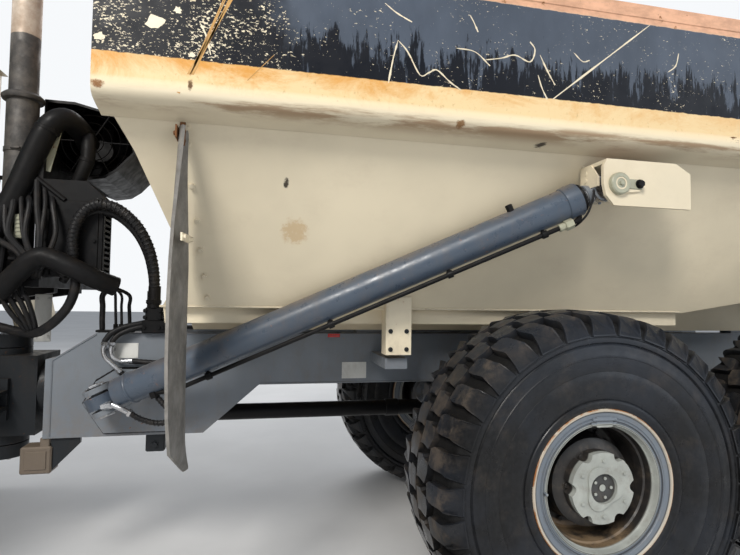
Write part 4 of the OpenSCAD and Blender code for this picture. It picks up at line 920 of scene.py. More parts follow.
def wheel_mesh():
    """A multi-piece rim with its disc and hub, about the Z axis, its outer face towards +Z."""
    mesh = bmesh.new()
    rim = [(-0.3, 0.386), (-0.306, 0.392), (-0.296, 0.394), (-0.284, 0.39), (-0.279, 0.38), (-0.279, 0.3175),
        (0.262, 0.3175), (0.274, 0.33), (0.279, 0.352), (0.281, 0.382), (0.29, 0.3925), (0.298, 0.3935),
        (0.305, 0.388), (0.304, 0.379), (0.297, 0.374), (0.294, 0.35), (0.29, 0.346), (0.289, 0.341),
        (0.296, 0.339), (0.297, 0.333), (0.29, 0.331), (0.288, 0.323), (0.294, 0.321), (0.295, 0.312),
        (0.288, 0.309), (0.27, 0.3065), (0.262, 0.3), (0.215, 0.298), (0.208, 0.29), (0.15, 0.288), (0.145, 0.292),
        (0.04, 0.292), (0.03, 0.284), (0.024, 0.262), (0.02, 0.206), (0.018, 0.09), (-0.018, 0.09), (-0.02, 0.262),
        (-0.04, 0.288), (-0.279, 0.292), (-0.3, 0.3)]
    add_spin(mesh, rim + [rim[0]], Matrix.Identity(4), 96)
    hub = [(-0.3, 0.0915), (-0.3, 0.19), (-0.285, 0.204), (0.021, 0.205), (0.023, 0.236), (0.04, 0.238),
        (0.048, 0.228), (0.192, 0.222), (0.206, 0.192), (0.212, 0.15), (0.23, 0.148), (0.23, 0.08), (0.284, 0.074),
        (0.274, 0.072), (0.274, 0.0)]
    add_spin(mesh, hub, Matrix.Identity(4), 72)
    # planet cover with six round notches in its rim
    cover = []
    for x, y in circle(144, 1):
        bite = max(0.0, math.cos(6 * math.atan2(y, x)) - 0.62) / 0.38
        radius = 0.1735 - 0.024 * math.sqrt(bite)
        cover.append((radius * x, radius * y))
    add_ring_plate(mesh, cover, circle(144, 0.078), 0.213, 0.2865)
    # wheel nuts on the disc, bolts and level marks on the hub's planet housing
    for count, radius, depth, size, start in ((12, 0.213, 0.04, 0.024, 0), (6, 0.16, 0.213, 0.022, 0),
            (6, 0.135, 0.2865, 0.016, 0.5), (5, 0.048, 0.274, 0.015, 0), (20, 0.252, 0.0245, 0.026, 0)):
        for x, y in circle(count, radius, start):
            add_bolt(mesh, (x, y, depth), (0, 0, 1), size)
    # three-armed plate round the recess
    arms = []
    for x, y in circle(48, 1):
        reach = 0.098 + 0.016 * math.cos(3 * math.atan2(y, x))
        arms.append((reach * x, reach * y))
    add_ring_plate(mesh, arms, circle(48, 0.073), 0.2865, 0.2945)
    add_bar(mesh, (0, 0, 0.274), (0, 0, 0.282), 0.017, 24, 0.002)
    # driver block and its bolts on the rim's lock ring
    add_box(mesh, (-0.044, 0.3, 0.289), (0.044, 0.352, 0.3035), 0.004)
    add_box(mesh, (-0.07, 0.306, 0.289), (0.07, 0.33, 0.2995), 0.003)
    add_bar(mesh, (-0.066, 0.338, 0.296), (0.066, 0.338, 0.296), 0.009, 12)
    add_bar(mesh, (-0.325, 0.0, 0.286), (-0.325, 0.0, 0.318), 0.007, 12, 0.001)
    layer = mesh.loops.layers.uv.verify()
    for face in mesh.faces:
        for loop in face.loops:
            v = loop.vert.co
            loop[layer].uv = (math.hypot(v.x, v.y), v.z)
    return mesh


def add_ring_plate(mesh, outer, inner, low, high):
    """A flat plate between two outlines that have the same number of points."""
    rows = []
    for points, z in ((outer, low), (outer, high), (inner, high), (inner, low)):
        rows.append([mesh.verts.new((x, y, z)) for x, y in points])
    edges = []
    for row in rows:
        edges.append([mesh.edges.new((row[i], row[(i + 1) % len(row)])) for i in range(len(row))])
    for a, b in zip(edges, edges[1:] + edges[:1]):
        bmesh.ops.bridge_loops(mesh, edges=a + b)


def merge(mesh, other):
    """Adds another bmesh's shape to this one and frees it."""
    data = bpy.data.meshes.new("merged")
    other.to_mesh(data)
    other.free()
    mesh.from_mesh(data)
    bpy.data.meshes.remove(data)


class TRUCK_OT_wheels(bpy.types.Operator):
    """Multi-piece rims with lock rings, discs, hubs and wheel nuts"""

    bl_idname = "truck.wheels"
    bl_label = "Wheels"

    def execute(self, context):
        pattern = wheel_mesh()
        for station in STATIONS:
            for side, sign in SIDES.items():
                place = Matrix.Translation(middle(f"tyre_{station}_{side}"))
                place = place @ turned(-90 * sign, "X")
                if sign > 0:
                    place = place @ turned(180, "Z")
                mesh = pattern.copy()
                bmesh.ops.transform(mesh, matrix=place, verts=mesh.verts)
                piece = finished(mesh, f"rim_{station}_{side}", "rim", f"wheel_{station}_{side}", "rim_paint", 32)
                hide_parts(f"wheel_{station}_{side}")
        pattern.free()
        return {"FINISHED"}


HOIST_FOOT = at(2.52, 0.7, 1.205)
HOIST_EYE = at(-0.116, 1.4, 2.401)
HOIST_WAY = (HOIST_EYE - HOIST_FOOT).normalized()
HOIST_LENGTH = (HOIST_EYE - HOIST_FOOT).length
BARREL_END = HOIST_LENGTH - 0.13
BARREL_R = 0.0855
SLEEVE_R = 0.069
ROD_R = 0.05


def hoist_point(distance, outward=0.0, up=0.0):
    """A point at a distance along the hoist's axis, moved off it outwards and upwards."""
    side = HOIST_WAY.cross(Vector((0, 0, 1))).normalized()
    side = side if side.y > 0 else -side
    above = side.cross(HOIST_WAY).normalized()
    above = above if above.z > 0 else -above
    return HOIST_FOOT + HOIST_WAY * distance + side * outward + above * up


def make_barrel_rings(side):
    mesh = bmesh.new()
    place = along(HOIST_FOOT, HOIST_EYE)
    # gland nut with spanner notches, and the weld where the barrel's foot is joined
    nut = [(BARREL_END - 0.084, BARREL_R), (BARREL_END - 0.08, BARREL_R + 0.006),
        (BARREL_END - 0.066, BARREL_R + 0.0075), (BARREL_END - 0.004, BARREL_R + 0.0075),
        (BARREL_END + 0.0015, BARREL_R + 0.002), (BARREL_END + 0.0025, SLEEVE_R + 0.007)]
    add_spin(mesh, nut, place, 64)
    for i in range(8):
        turn = place @ Matrix.Rotation(math.tau * i / 8, 4, "Z")
        start = turn @ Vector((BARREL_R + 0.004, 0, BARREL_END - 0.046))
        add_bar(mesh, start, turn @ Vector((BARREL_R + 0.0088, 0, BARREL_END - 0.046)), 0.007, 12, 0.001)
    weld = [(0.172, BARREL_R), (0.176, BARREL_R + 0.004), (0.182, BARREL_R + 0.0055), (0.188, BARREL_R + 0.004),
        (0.192, BARREL_R)]
    add_spin(mesh, weld, place, 64)
    sided(mesh, side, "hoist_gland", "cylinder", f"hoist_barrel_{side}", "grey_paint")


def make_pipe(side):
    """The steel pipe under the barrel, its clamps and its port block"""
    mesh = bmesh.new()
    drop = -(BARREL_R + 0.022)

    def under(distance):
        return hoist_point(distance, 0.03, drop)

    points = [hoist_point(0.3, 0.03, -BARREL_R + 0.01), under(0.42), under(0.55), under(1.4), under(2.3),
        under(BARREL_END - 0.1), hoist_point(BARREL_END - 0.045, 0.026, drop + 0.006),
        hoist_point(BARREL_END - 0.03, 0.016, -BARREL_R + 0.008)]
    add_tube(mesh, points, fittings().pipe, 5, 12)
    for distance in (0.62, 1.35, 2.05, 2.6):
        low = under(distance - 0.016)
        add_bar(mesh, low, under(distance + 0.016), 0.021, 16, 0.002)
        add_bar(mesh, hoist_point(distance, 0.02, -BARREL_R + 0.004), under(distance), 0.01, 12)
    add_bar(mesh, hoist_point(BARREL_END - 0.36, 0.02, BARREL_R - 0.01),
        hoist_point(BARREL_END - 0.36, 0.02, BARREL_R + 0.032), 0.02, 6, 0.003)
    add_bar(mesh, hoist_point(0.3, 0.03, -BARREL_R + 0.016), hoist_point(0.3, 0.03, -BARREL_R - 0.018), 0.026, 6,
        0.002)
    sided(mesh, side, "hoist_pipe", "gasket", f"hoist_barrel_{side}", "dark_paint")
    mesh = bmesh.new()
    nut = under(BARREL_END - 0.13)
    add_bar(mesh, nut, under(BARREL_END - 0.085), 0.03, 6, 0.002)
    add_bar(mesh, under(BARREL_END - 0.165), nut, 0.022, 12, 0.002)
    sided(mesh, side, "hoist_union", "plated", f"hoist_barrel_{side}", "bright_steel")


def make_sleeve_gland(side):
    mesh = bmesh.new()
    place = along(HOIST_FOOT, HOIST_EYE)
    end = BARREL_END + 0.0225
    ring = [(end - 0.018, SLEEVE_R + 0.0072), (end - 0.012, SLEEVE_R + 0.0095), (end - 0.002, SLEEVE_R + 0.0088),
        (end + 0.002, SLEEVE_R), (end + 0.006, ROD_R + 0.012), (end + 0.012, ROD_R + 0.008),
        (end + 0.013, ROD_R + 0.0012)]
    add_spin(mesh, ring, place, 56)
    sided(mesh, side, "sleeve_gland", "gasket", f"hoist_sleeve_{side}")


def make_rod_eye(side):
    mesh = bmesh.new()
    place = Matrix.Translation(HOIST_EYE) @ turned(-90, "X")
    # ground faces and the seal rings of the eye
    for s in (1, -1):
        ring = [(s * 0.0452, 0.056), (s * 0.049, 0.057), (s * 0.05, 0.064), (s * 0.0455, 0.069)]
        add_spin(mesh, ring, place, 40)
    neck = HOIST_EYE - HOIST_WAY * 0.088
    add_bar(mesh, neck, HOIST_EYE - HOIST_WAY * 0.06, 0.062, 32, 0.004, 0.052)
    add_bolt(mesh, HOIST_EYE + Vector((0.0, 0.0, -0.07)), (0, 0, -1), 0.014, False)
    sided(mesh, side, "rod_eye", "grey", f"hoist_rod_{side}", "grey_paint")


def make_foot_hose(side):
    """Plated elbow, spiral-guarded hose and its return at the barrel's foot"""
    mesh = bmesh.new()
    start = at(2.445, 0.79, 1.196)
    elbow = [start, at(2.402, 0.8, 1.177), at(2.361, 0.802, 1.155)]
    add_tube(mesh, elbow, 0.03, 5, 16)
    add_bar(mesh, at(2.5, 0.77, 1.18), start, 0.021, 6, 0.002)
    add_bar(mesh, elbow[-1], at(2.345, 0.802, 1.146), 0.022, 6, 0.002)
    sided(mesh, side, "foot_elbow", "steel", f"hoist_barrel_{side}", "bright_steel")
    mesh = bmesh.new()
    # bright washers and nuts at both ends of the foot's pin
    for way in (1, -1):
        add_bar(mesh, hoist_point(0, 0, way * 0.0785), hoist_point(0, 0, way * 0.0845), 0.062, 40, 0.001)
        add_bar(mesh, hoist_point(0, 0, way * 0.084), hoist_point(0, 0, way * 0.096), 0.044, 6, 0.003)
    sided(mesh, side, "foot_washers", "steel", "rear_chassis", "bright_steel")
    mesh = bmesh.new()
    hose = route((2.345, 0.802, 1.146), (2.309, 0.8, 1.121), (2.247, 0.8, 1.097), (2.195, 0.8, 1.089),
        (2.153, 0.805, 1.099), (2.133, 0.812, 1.126), (2.15, 0.815, 1.165), (2.198, 0.805, 1.215),
        (2.24, 0.79, 1.262))
    add_tube(mesh, hose, fittings().thick_hose * 0.68, 7, 12)
    add_guard(mesh, hose, fittings().thick_hose * 0.68, 7, 0.02, 0.008)
    sided(mesh, side, "foot_hose", "hose", f"hoist_barrel_{side}")


class TRUCK_OT_hoists(Maker, bpy.types.Operator):
    """Glands, ports, steel pipes, pins and grease fittings of the hoist cylinders"""

    bl_idname = "truck.hoists"
    bl_label = "Hoist Cylinders"
    each_side = (make_barrel_rings, make_pipe, make_sleeve_gland, make_rod_eye, make_foot_hose)


FRAME_FRONT = FRAME_HIGH.x
FRAME_SIDE = 0.5


def add_bead(mesh, points, size=0.008):
    """A weld bead along a line of points."""
    for a, b in zip(points, points[1:]):
        a, b = Vector(a), Vector(b)
        count = max(2, int((b - a).length / 0.03))
        for i in range(count):
            start = a.lerp(b, i / count)
            end = a.lerp(b, (i + 1.15) / count)
            add_bar(mesh, start, end, size, 6, 0, size * 0.82)


def make_welds(side):
    mesh = bmesh.new()
    y = FRAME_SIDE + 0.0006
    x = FRAME_FRONT
    add_bead(mesh, [(x - 0.036, y, 0.965), (x - 0.036, y, 1.404), (x - 0.265, y, 1.555)], 0.006)
    doubler = [(x - 0.215, y, 1.15), (x - 0.28, y, 1.28), (x - 0.39, y, 1.35), (x - 0.56, y, 1.35),
        (x - 0.74, y, 1.19), (x - 0.74, y, 0.978), (x - 0.33, y, 0.978), (x - 0.215, y, 1.15)]
    lines = bmesh.new()
    add_bead(lines, doubler, 0.011)
    sided(lines, side, "doubler_welds", "gasket", "rear_chassis", "grey_paint")
    add_bead(mesh, [(x - 1.22, y, 1.246), (x - 3.4, y, 1.246)], 0.005)
    add_bead(mesh, [(x - 0.36, y, 1.558), (x - 3.4, y, 1.558)], 0.005)
    for station in (1.95, 0.95, -0.05, -1.05, -2.05):
        middle_x = BOGIE.x + station
        add_bead(mesh, [(middle_x - 0.09, 0.4806, 1.568), (middle_x + 0.09, 0.4806, 1.568)], 0.005)
    sided(mesh, side, "frame_welds", "grey", "rear_chassis", "grey_paint")


def make_plates(side):
    """Bare plates, a red reflector and bolted straps on the side member"""
    mesh = bmesh.new()
    for low, high in (((2.382, 1.414), (2.524, 1.504)), ((0.975, 1.27), (1.137, 1.376))):
        add_box(mesh, at(low[0], 0.5005, low[1]), at(high[0], 0.5022, high[1]), 0.0006)
        for dx in (low[0] + 0.008, high[0] - 0.008):
            for dz in (low[1] + 0.008, high[1] - 0.008):
                add_bolt(mesh, at(dx, 0.5022, dz), (0, 1, 0), 0.006, False)
    sided(mesh, side, "bare_plates", "plate", "rear_chassis", "cream_paint")
    mesh = bmesh.new()
    add_box(mesh, at(1.155, 0.5005, 1.538), at(1.234, 0.507, 1.562), 0.002)
    sided(mesh, side, "frame_reflector", "red_lamp", "rear_chassis", "lamp")


def make_nose_blocks(side):
    """Stop block and gusset under the frame's nose, and a small clip block further back"""
    mesh = bmesh.new()
    add_box(mesh, at(2.835, 0.375, 0.75), at(3.0, 0.498, 0.905), 0.008)
    add_box(mesh, at(2.85, 0.385, 0.9), at(2.9, 0.49, 0.955), 0.004)
    add_box(mesh, at(2.86, 0.496, 0.775), at(2.975, 0.504, 0.88), 0.003)
    sided(mesh, side, "nose_block", "muddy", "rear_chassis", "grey_paint")
    mesh = bmesh.new()
    wedge = [(2.845, 0.956), (2.69, 0.956), (2.69, 0.915), (2.84, 0.76)]
    add_plate(mesh, [(BOGIE.x + x, z) for x, z in wedge], 0.03, wall_place(0.45, 1), 0.003)
    add_box(mesh, at(2.215, 0.425, 0.85), at(2.325, 0.498, 0.956), 0.008)
    add_bolt(mesh, at(2.27, 0.498, 0.895), (0, 1, 0), 0.03)
    sided(mesh, side, "nose_gusset", "greasy", "rear_chassis", "dark_paint")


def make_elbows(side):
    mesh = bmesh.new()
    first = route((2.552, 0.572, 1.497), (2.558, 0.572, 1.47), (2.547, 0.568, 1.428), (2.509, 0.562, 1.387),
        (2.476, 0.56, 1.352))
    second = route((2.514, 0.56, 1.495), (2.519, 0.56, 1.466), (2.508, 0.556, 1.427), (2.47, 0.55, 1.403),
        (2.42, 0.55, 1.402))
    for path in (first, second):
        add_tube(mesh, path, 0.027, 6, 16)
        add_bar(mesh, path[0], path[0] + Vector((0, 0, 0.02)), 0.021, 6, 0.002)
        add_bar(mesh, path[-1], path[-1] + (path[-1] - path[-2]).normalized() * 0.02, 0.019, 16, 0.002)
        add_bar(mesh, path[1] + Vector((0, -0.062, 0)), path[1] + Vector((0, -0.008, 0)), 0.013, 6, 0.001)
    sided(mesh, side, "frame_elbows", "steel", "rear_chassis", "bright_steel")


def make_hoses(side):
    mesh = bmesh.new()
    thin = fittings().thin_hose
    upper = [route((2.235, 0.45, 1.64), (2.3, 0.5, 1.64), (2.371, 0.53, 1.622), (2.45, 0.552, 1.604),
        (2.514, 0.57, 1.57), (2.546, 0.572, 1.53), (2.552, 0.572, 1.515)),
        route((2.2, 0.45, 1.628), (2.3, 0.51, 1.612), (2.396, 0.54, 1.596), (2.474, 0.555, 1.563),
        (2.508, 0.56, 1.528), (2.514, 0.56, 1.513))]
    lower = [route((2.476, 0.56, 1.352), (2.432, 0.56, 1.309), (2.381, 0.565, 1.268), (2.335, 0.59, 1.24),
        (2.29, 0.62, 1.232)), route((2.415, 0.55, 1.402), (2.304, 0.55, 1.392), (2.18, 0.55, 1.381),
        (2.047, 0.55, 1.362), (1.95, 0.545, 1.4), (1.86, 0.52, 1.5), (1.8, 0.49, 1.585), (1.7, 0.45, 1.6))]
    for path in upper:
        add_tube(mesh, path, 0.033, 6, 12)
    for path in lower:
        add_tube(mesh, path, 0.031, 9, 12, 0.07)
    # brake and control hoses along the top of the side member
    for i, drop in enumerate((0.0, 0.024, 0.047)):
        path = route((2.22, 0.405 + drop, 1.59), (1.7, 0.41 + drop, 1.582), (1.2, 0.404 + drop, 1.59),
            (0.6, 0.41 + drop, 1.582), (0.1, 0.405 + drop, 1.588))
        add_tube(mesh, [p + Vector((0, -0.035, 0.004 * i)) for p in path], thin * 0.8, 8, 8)
    sided(mesh, side, "frame_hoses", "hose", "rear_chassis")


def make_bearing_bolts():
    mesh = bmesh.new()
    for y, z in circle(16, 0.235):
        if 0.965 < 1.18 + z < 1.395:
            add_bolt(mesh, (FRAME_FRONT + 0.0002, y, 1.18 + z), (1, 0, 0), 0.026)
    for side in (1, -1):
        for z in (1.0, 1.1, 1.28, 1.36):
            add_bolt(mesh, (FRAME_FRONT, side * 0.345, z), (1, 0, 0), 0.03)
    finished(mesh, "bearing_bolts", "grey", "rear_chassis", "grey_paint")


def make_axle_bolts():
    """Bolt rings of the differential covers, brake cooling pipes and the bolts of the bogie's beams"""
    mesh = bmesh.new()
    for x in (BOGIE.x, REAR_X):
        for dx, dz in circle(14, 0.205):
            add_bolt(mesh, (x + dx, 0.1755, AXLE_Z + dz), (0, 1, 0), 0.024)
        for side in (1, -1):
            for dx, dz in circle(12, 0.19):
                add_bolt(mesh, (x + dx, side * 0.844, AXLE_Z + dz), (0, -side, 0), 0.024)
            for dx in (0.06, -0.06):
                path = [(x + dx, side * 0.2, AXLE_Z + 0.17), (x + dx, side * 0.4, AXLE_Z + 0.148),
                    (x + dx, side * 0.7, AXLE_Z + 0.15), (x + dx * 1.3, side * 0.8, AXLE_Z + 0.19),
                    (x + dx * 1.3, side * 0.86, AXLE_Z + 0.212)]
                add_tube(mesh, path, 0.018, 4, 10)
    bogie_middle = (BOGIE.x + REAR_X) / 2
    for side in (1, -1):
        for dx, dz in circle(8, 0.066):
            add_bolt(mesh, (bogie_middle + dx, side * 0.79, 1.01 + dz), (0, side, 0), 0.022)
    finished(mesh, "axle_fittings", "grey", "rear_chassis", "grey_paint")


def make_shaft_yokes():
    mesh = bmesh.new()
    z = 0.97
    for x in (BOGIE.x + 0.36, BOGIE.x + 2.38, REAR_X + 0.36, BOGIE.x - 0.36):
        for turn in (0, 90):
            way = Vector((0, math.cos(math.radians(turn)), math.sin(math.radians(turn))))
            add_bar(mesh, Vector((x, 0, z)) - way * 0.078, Vector((x, 0, z)) + way * 0.078, 0.03, 20, 0.004)
    for x in (BOGIE.x + 0.62, BOGIE.x + 1.95):
        add_bar(mesh, (x, 0, z), (x + 0.1, 0, z), 0.0625, 32, 0.004)
    for y, dz in circle(8, 0.066):
        add_bolt(mesh, (BOGIE.x + 0.3405, y, z + dz), (1, 0, 0), 0.016, False)
    finished(mesh, "shaft_yokes", "black", "rear_chassis", "dark_paint")


class TRUCK_OT_rear_frame(Maker, bpy.types.Operator):
    """Welds round the doubler plates, other welds, hoses, blank plates and reflectors of the rear frame"""

    bl_idname = "truck.rear_frame"
    bl_label = "Rear Frame Fittings"
    each_side = (make_welds, make_plates, make_nose_blocks, make_elbows, make_hoses)
    once = (make_bearing_bolts, make_axle_bolts, make_shaft_yokes)


RAIL_Y = 1.55
SIDE_FOOT = (0.895, 1.728)
SIDE_HEAD = (1.38, 2.59)
FLAP_X = 2.04


def side_depth(z):
    """How far out the body's slanted side is at a height."""
    share = (z - SIDE_FOOT[1]) / (SIDE_HEAD[1] - SIDE_FOOT[1])
    return SIDE_FOOT[0] + share * (SIDE_HEAD[0] - SIDE_FOOT[0])


def side_outward():
    """The way the slanted side faces."""
    run = SIDE_HEAD[0] - SIDE_FOOT[0]
    rise = SIDE_HEAD[1] - SIDE_FOOT[1]
    return Vector((0, rise, -run)).normalized()


# Long scratches in the band, each a short list of (distance ahead of the bogie, height)
SCRATCHES = (((1.068, 3.01), (1.09, 2.92), (1.112, 2.8)), ((1.068, 3.01), (1.02, 2.96), (0.958, 2.855),
    (0.915, 2.87), (0.873, 2.888), (0.807, 2.837), (0.75, 2.803)), ((0.778, 3.007), (0.679, 3.0), (0.6, 2.939)),
    ((0.627, 2.966), (0.54, 2.985), (0.467, 3.009), (0.385, 2.984), (0.358, 3.048), (0.385, 3.086)),
    ((0.33, 3.026), (0.29, 2.95), (0.247, 2.881)), ((0.341, 2.922), (0.32, 2.86), (0.291, 2.805)),
    ((-0.313, 3.264), (-0.02, 3.03), (0.258, 2.808)), ((1.134, 3.18), (1.075, 3.14), (1.0, 3.106)),
    ((0.707, 3.18), (0.688, 3.15), (0.664, 3.101)), ((0.14, 3.06), (0.09, 3.02), (0.05, 3.03)),
    ((-0.42, 3.02), (-0.47, 3.06), (-0.49, 3.13)), ((1.96, 2.98), (1.93, 2.92), (1.91, 2.84)))
# Gouges that cross the band and the strip under it: start, end, and share of full width
GOUGES = (((1.75, 3.26), (2.039, 2.658), 1.0), ((1.814, 3.2), (2.011, 2.69), 0.5),
    ((1.771, 3.262), (1.992, 2.72), 0.7), ((1.8, 3.262), (1.975, 2.79), 0.5), ((1.64, 2.87), (1.79, 2.7), 0.3))
CHIPS = ((2.141, 2.955, 0.046), (2.357, 2.867, 0.022), (2.05, 3.02, 0.018), (1.985, 2.83, 0.016), (2.3, 3.08, 0.016))


def make_scratches(side):
    """Thin ribbons of bare cream paint in the band"""
    mesh = bmesh.new()
    width = fittings().scratch
    for k, line in enumerate(SCRATCHES):
        path = smooth_path([at(x, RAIL_Y + 0.0006, z) for x, z in line], 5)
        rows = []
        for i, point in enumerate(path):
            ahead = (path[min(i + 1, len(path) - 1)] - path[max(i - 1, 0)]).normalized()
            across = ahead.cross(Vector((0, 1, 0)))
            half = width * (0.35 + 0.9 * abs(noise.noise(Vector((k * 3.1, i * 0.7, 0))))) * min(1, 0.3 + i / 3)
            rows.append([mesh.verts.new(point + across * half), mesh.verts.new(point - across * half)])
        for a, b in zip(rows, rows[1:]):
            mesh.faces.new((a[0], a[1], b[1], b[0]))
    for k, (x, z, size) in enumerate(CHIPS):
        rim = []
        for i in range(16):
            angle = math.tau * i / 16
            reach = size * (0.65 + 0.9 * abs(noise.noise(Vector((k * 5.3, i * 0.9, 1)))))
            rim.append(mesh.verts.new(at(x + reach * math.cos(angle), 0, z + 0.8 * reach * math.sin(angle))))
        mesh.faces.new(rim)
    for v in mesh.verts:
        v.co.y = RAIL_Y + 0.0006
    bmesh.ops.solidify(mesh, geom=mesh.faces[:], thickness=0.0005)
    sided(mesh, side, "band_scratches", "white", "dump_body", "cream_paint")
    mesh = bmesh.new()
    for start, end, share in GOUGES:
        start, end = at(start[0], 0, start[1]), at(end[0], 0, end[1])
        across = (end - start).cross(Vector((0, 1, 0))).normalized() * 0.007 * share
        corners = (start - across * 0.5, start + across * 0.5, end + across, end - across)
        mesh.faces.new([mesh.verts.new(p) for p in corners])
    for v in mesh.verts:
        v.co.y = RAIL_Y + 0.0008
    bmesh.ops.solidify(mesh, geom=mesh.faces[:], thickness=0.0005)
    sided(mesh, side, "band_gouges", "gouge", "dump_body", "cream_paint")


def make_roll(side):
    """The strip's foot, rolled under in a soft round bend"""
    mesh = bmesh.new()
    profile = ((1.55, 2.742), (1.5512, 2.705), (1.5508, 2.68), (1.547, 2.658), (1.537, 2.64), (1.52, 2.626),
        (1.495, 2.617), (1.455, 2.607), (1.415, 2.598), (1.383, 2.5905))
    x0, x1 = BOGIE.x + 2.384, BODY_LOW.x + 1.26
    verts = [mesh.verts.new((x0, y, z)) for y, z in profile]
    edges = [mesh.edges.new(pair) for pair in zip(verts, verts[1:])]
    for _ in range(24):
        made = bmesh.ops.extrude_edge_only(mesh, edges=edges)
        edges = [e for e in made["geom"] if isinstance(e, bmesh.types.BMEdge)]
        moved = verts_of(made)
        bmesh.ops.translate(mesh, vec=((x1 - x0) / 24, 0, 0), verts=moved)
    for v in mesh.verts:
        wave = noise.noise(Vector((v.co.x * 2.7, v.co.z * 9, SIDES[side] * 4)))
        v.co.y += 0.0035 * wave if 2.6 < v.co.z < 2.73 else 0
    bmesh.ops.solidify(mesh, geom=mesh.faces[:], thickness=0.003)
    sided(mesh, side, "bend_roll", "body", "dump_body", "cream_paint", 60)


def make_rail(side):
    """A rolled, dented cap strip along the top of the rail"""
    mesh = bmesh.new()
    x0, x1 = BOGIE.x + 2.384, BODY_LOW.x + 1.26
    top = 3.37
    steps = 60
    sign = SIDES[side]
    for i in range(steps + 1):
        x = x0 + (x1 - x0) * i / steps
        dent = 0.006 * noise.noise(Vector((x * 2.1, 0, sign))) + 0.003 * noise.noise(Vector((x * 7, 3, sign)))
        ring = [(RAIL_Y - 0.03, top - 0.002), (RAIL_Y - 0.026, top + 0.004), (RAIL_Y - 0.004, top + 0.004),
            (RAIL_Y + 0.004, top - 0.002), (RAIL_Y + 0.0045, top - 0.07), (RAIL_Y + 0.0005, top - 0.074)]
        row = [mesh.verts.new((x, y + dent * 0.4, z + dent * 0.5 - 0.002)) for y, z in ring]
        if i:
            for k in range(len(ring)):
                m = (k + 1) % len(ring)
                mesh.faces.new((last[k], last[m], row[m], row[k]))
        last = row
    ends = [[v for v in mesh.verts if abs(v.co.x - x) < 1e-5] for x in (x0, x1)]
    for end in ends:
        mesh.faces.new(end)
    sided(mesh, side, "rail_cap", "body", "dump_body", "cream_paint")


def make_bracket(side):
    """Pin, keeper plate, gusset and bolts where the hoist's eye is held"""
    mesh = bmesh.new()
    outer = 1.5504
    eye = HOIST_EYE
    place = Matrix.Translation((eye.x, outer, eye.z)) @ turned(-90, "X")
    boss = [(0.0, 0.058), (0.02, 0.056), (0.026, 0.05), (0.026, 0.034), (0.021, 0.03), (0.021, 0.0)]
    add_spin(mesh, boss, place, 40)
    add_bolt(mesh, (eye.x, outer + 0.021, eye.z), (0, 1, 0), 0.02, False)
    slot_low = (eye.x - 0.132, outer + 0.009, eye.z - 0.026)
    add_box(mesh, slot_low, (eye.x - 0.02, outer + 0.017, eye.z + 0.026), 0.004)
    sided(mesh, side, "eye_keeper", "plated", "dump_body", "bright_steel")
    mesh = bmesh.new()
    add_bolt(mesh, (eye.x - 0.112, outer + 0.016, eye.z + 0.002), (0, 1, 0), 0.034)
    sided(mesh, side, "keeper_nut", "gasket", "dump_body", "dark_paint")
    mesh = bmesh.new()
    # weld beads where the channel meets the side
    back, front, top = eye.x - 0.35, eye.x + 0.066, eye.z + 0.1292
    add_bead(mesh, [(x, side_depth(top) + 0.002, top + 0.001) for x in (back, front)], 0.008)
    # gusset plate inside the channel, with two holes
    outline = [(0.0, 0.0), (0.15, 0.0), (0.15, 0.05), (0.09, 0.125), (0.0, 0.125)]
    plate = Matrix.Translation((eye.x + 0.064, side_depth(eye.z + 0.12) - 0.004, eye.z)) @ turned(90, "Z") @ turned(90,
        "X")
    add_plate(mesh, outline, 0.01, plate, 0.001)
    for dz in (0.045, 0.085):
        add_bar(mesh, (eye.x + 0.072, side_depth(eye.z + 0.12) + 0.045, eye.z + dz),
            (eye.x + 0.0765, side_depth(eye.z + 0.12) + 0.045, eye.z + dz), 0.012, 20, 0.001)
    # grease hose to the pin
    hose = [(eye.x + 0.055, eye.y + 0.03, eye.z + 0.02), (eye.x + 0.075, eye.y + 0.05, eye.z - 0.05),
        (eye.x + 0.09, eye.y + 0.02, eye.z - 0.14), (eye.x + 0.12, eye.y - 0.06, eye.z - 0.2),
        (eye.x + 0.13, side_depth(eye.z - 0.2) + 0.004, eye.z - 0.2)]
    sided(mesh, side, "bracket_gusset", "cream", "dump_body", "cream_paint")
    mesh = bmesh.new()
    add_tube(mesh, hose, 0.012, 6, 10)
    sided(mesh, side, "grease_hose", "hose", "dump_body")


def make_posts(side):
    mesh = bmesh.new()
    low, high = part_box("body_guides")
    outer = high.y
    middle_x = (low.x + high.x) / 2
    for dx in (-0.048, 0.048):
        for z in (1.5, 1.605):
            add_bolt(mesh, (middle_x + dx, outer, z), (0, 1, 0), 0.019)
    sided(mesh, side, "post_bolts", "greasy", "dump_body", "dark_paint")


def make_seams():
    """Bolts down the body's front fold and a weld bead along the floor's edge"""
    mesh = bmesh.new()
    low_y = side_depth(1.735) + 0.001
    holes = ((2.045, 2.57), (2.043, 2.5), (2.03, 2.327), (2.012, 2.169), (2.0, 2.031), (1.985, 1.899), (1.972, 1.786))
    for sign in (1, -1):
        for ahead, z in holes:
            outward = side_outward() * Vector((1, sign, 1))
            add_bolt(mesh, at(ahead - 0.02, sign * (side_depth(z) + 0.0006), z), outward, 0.024)
        add_bead(mesh, route((2.2, sign * low_y, 1.735), (-1.08, sign * low_y, 1.735)), 0.006)
    finished(mesh, "body_bolts", "cream", "dump_body", "cream_paint")


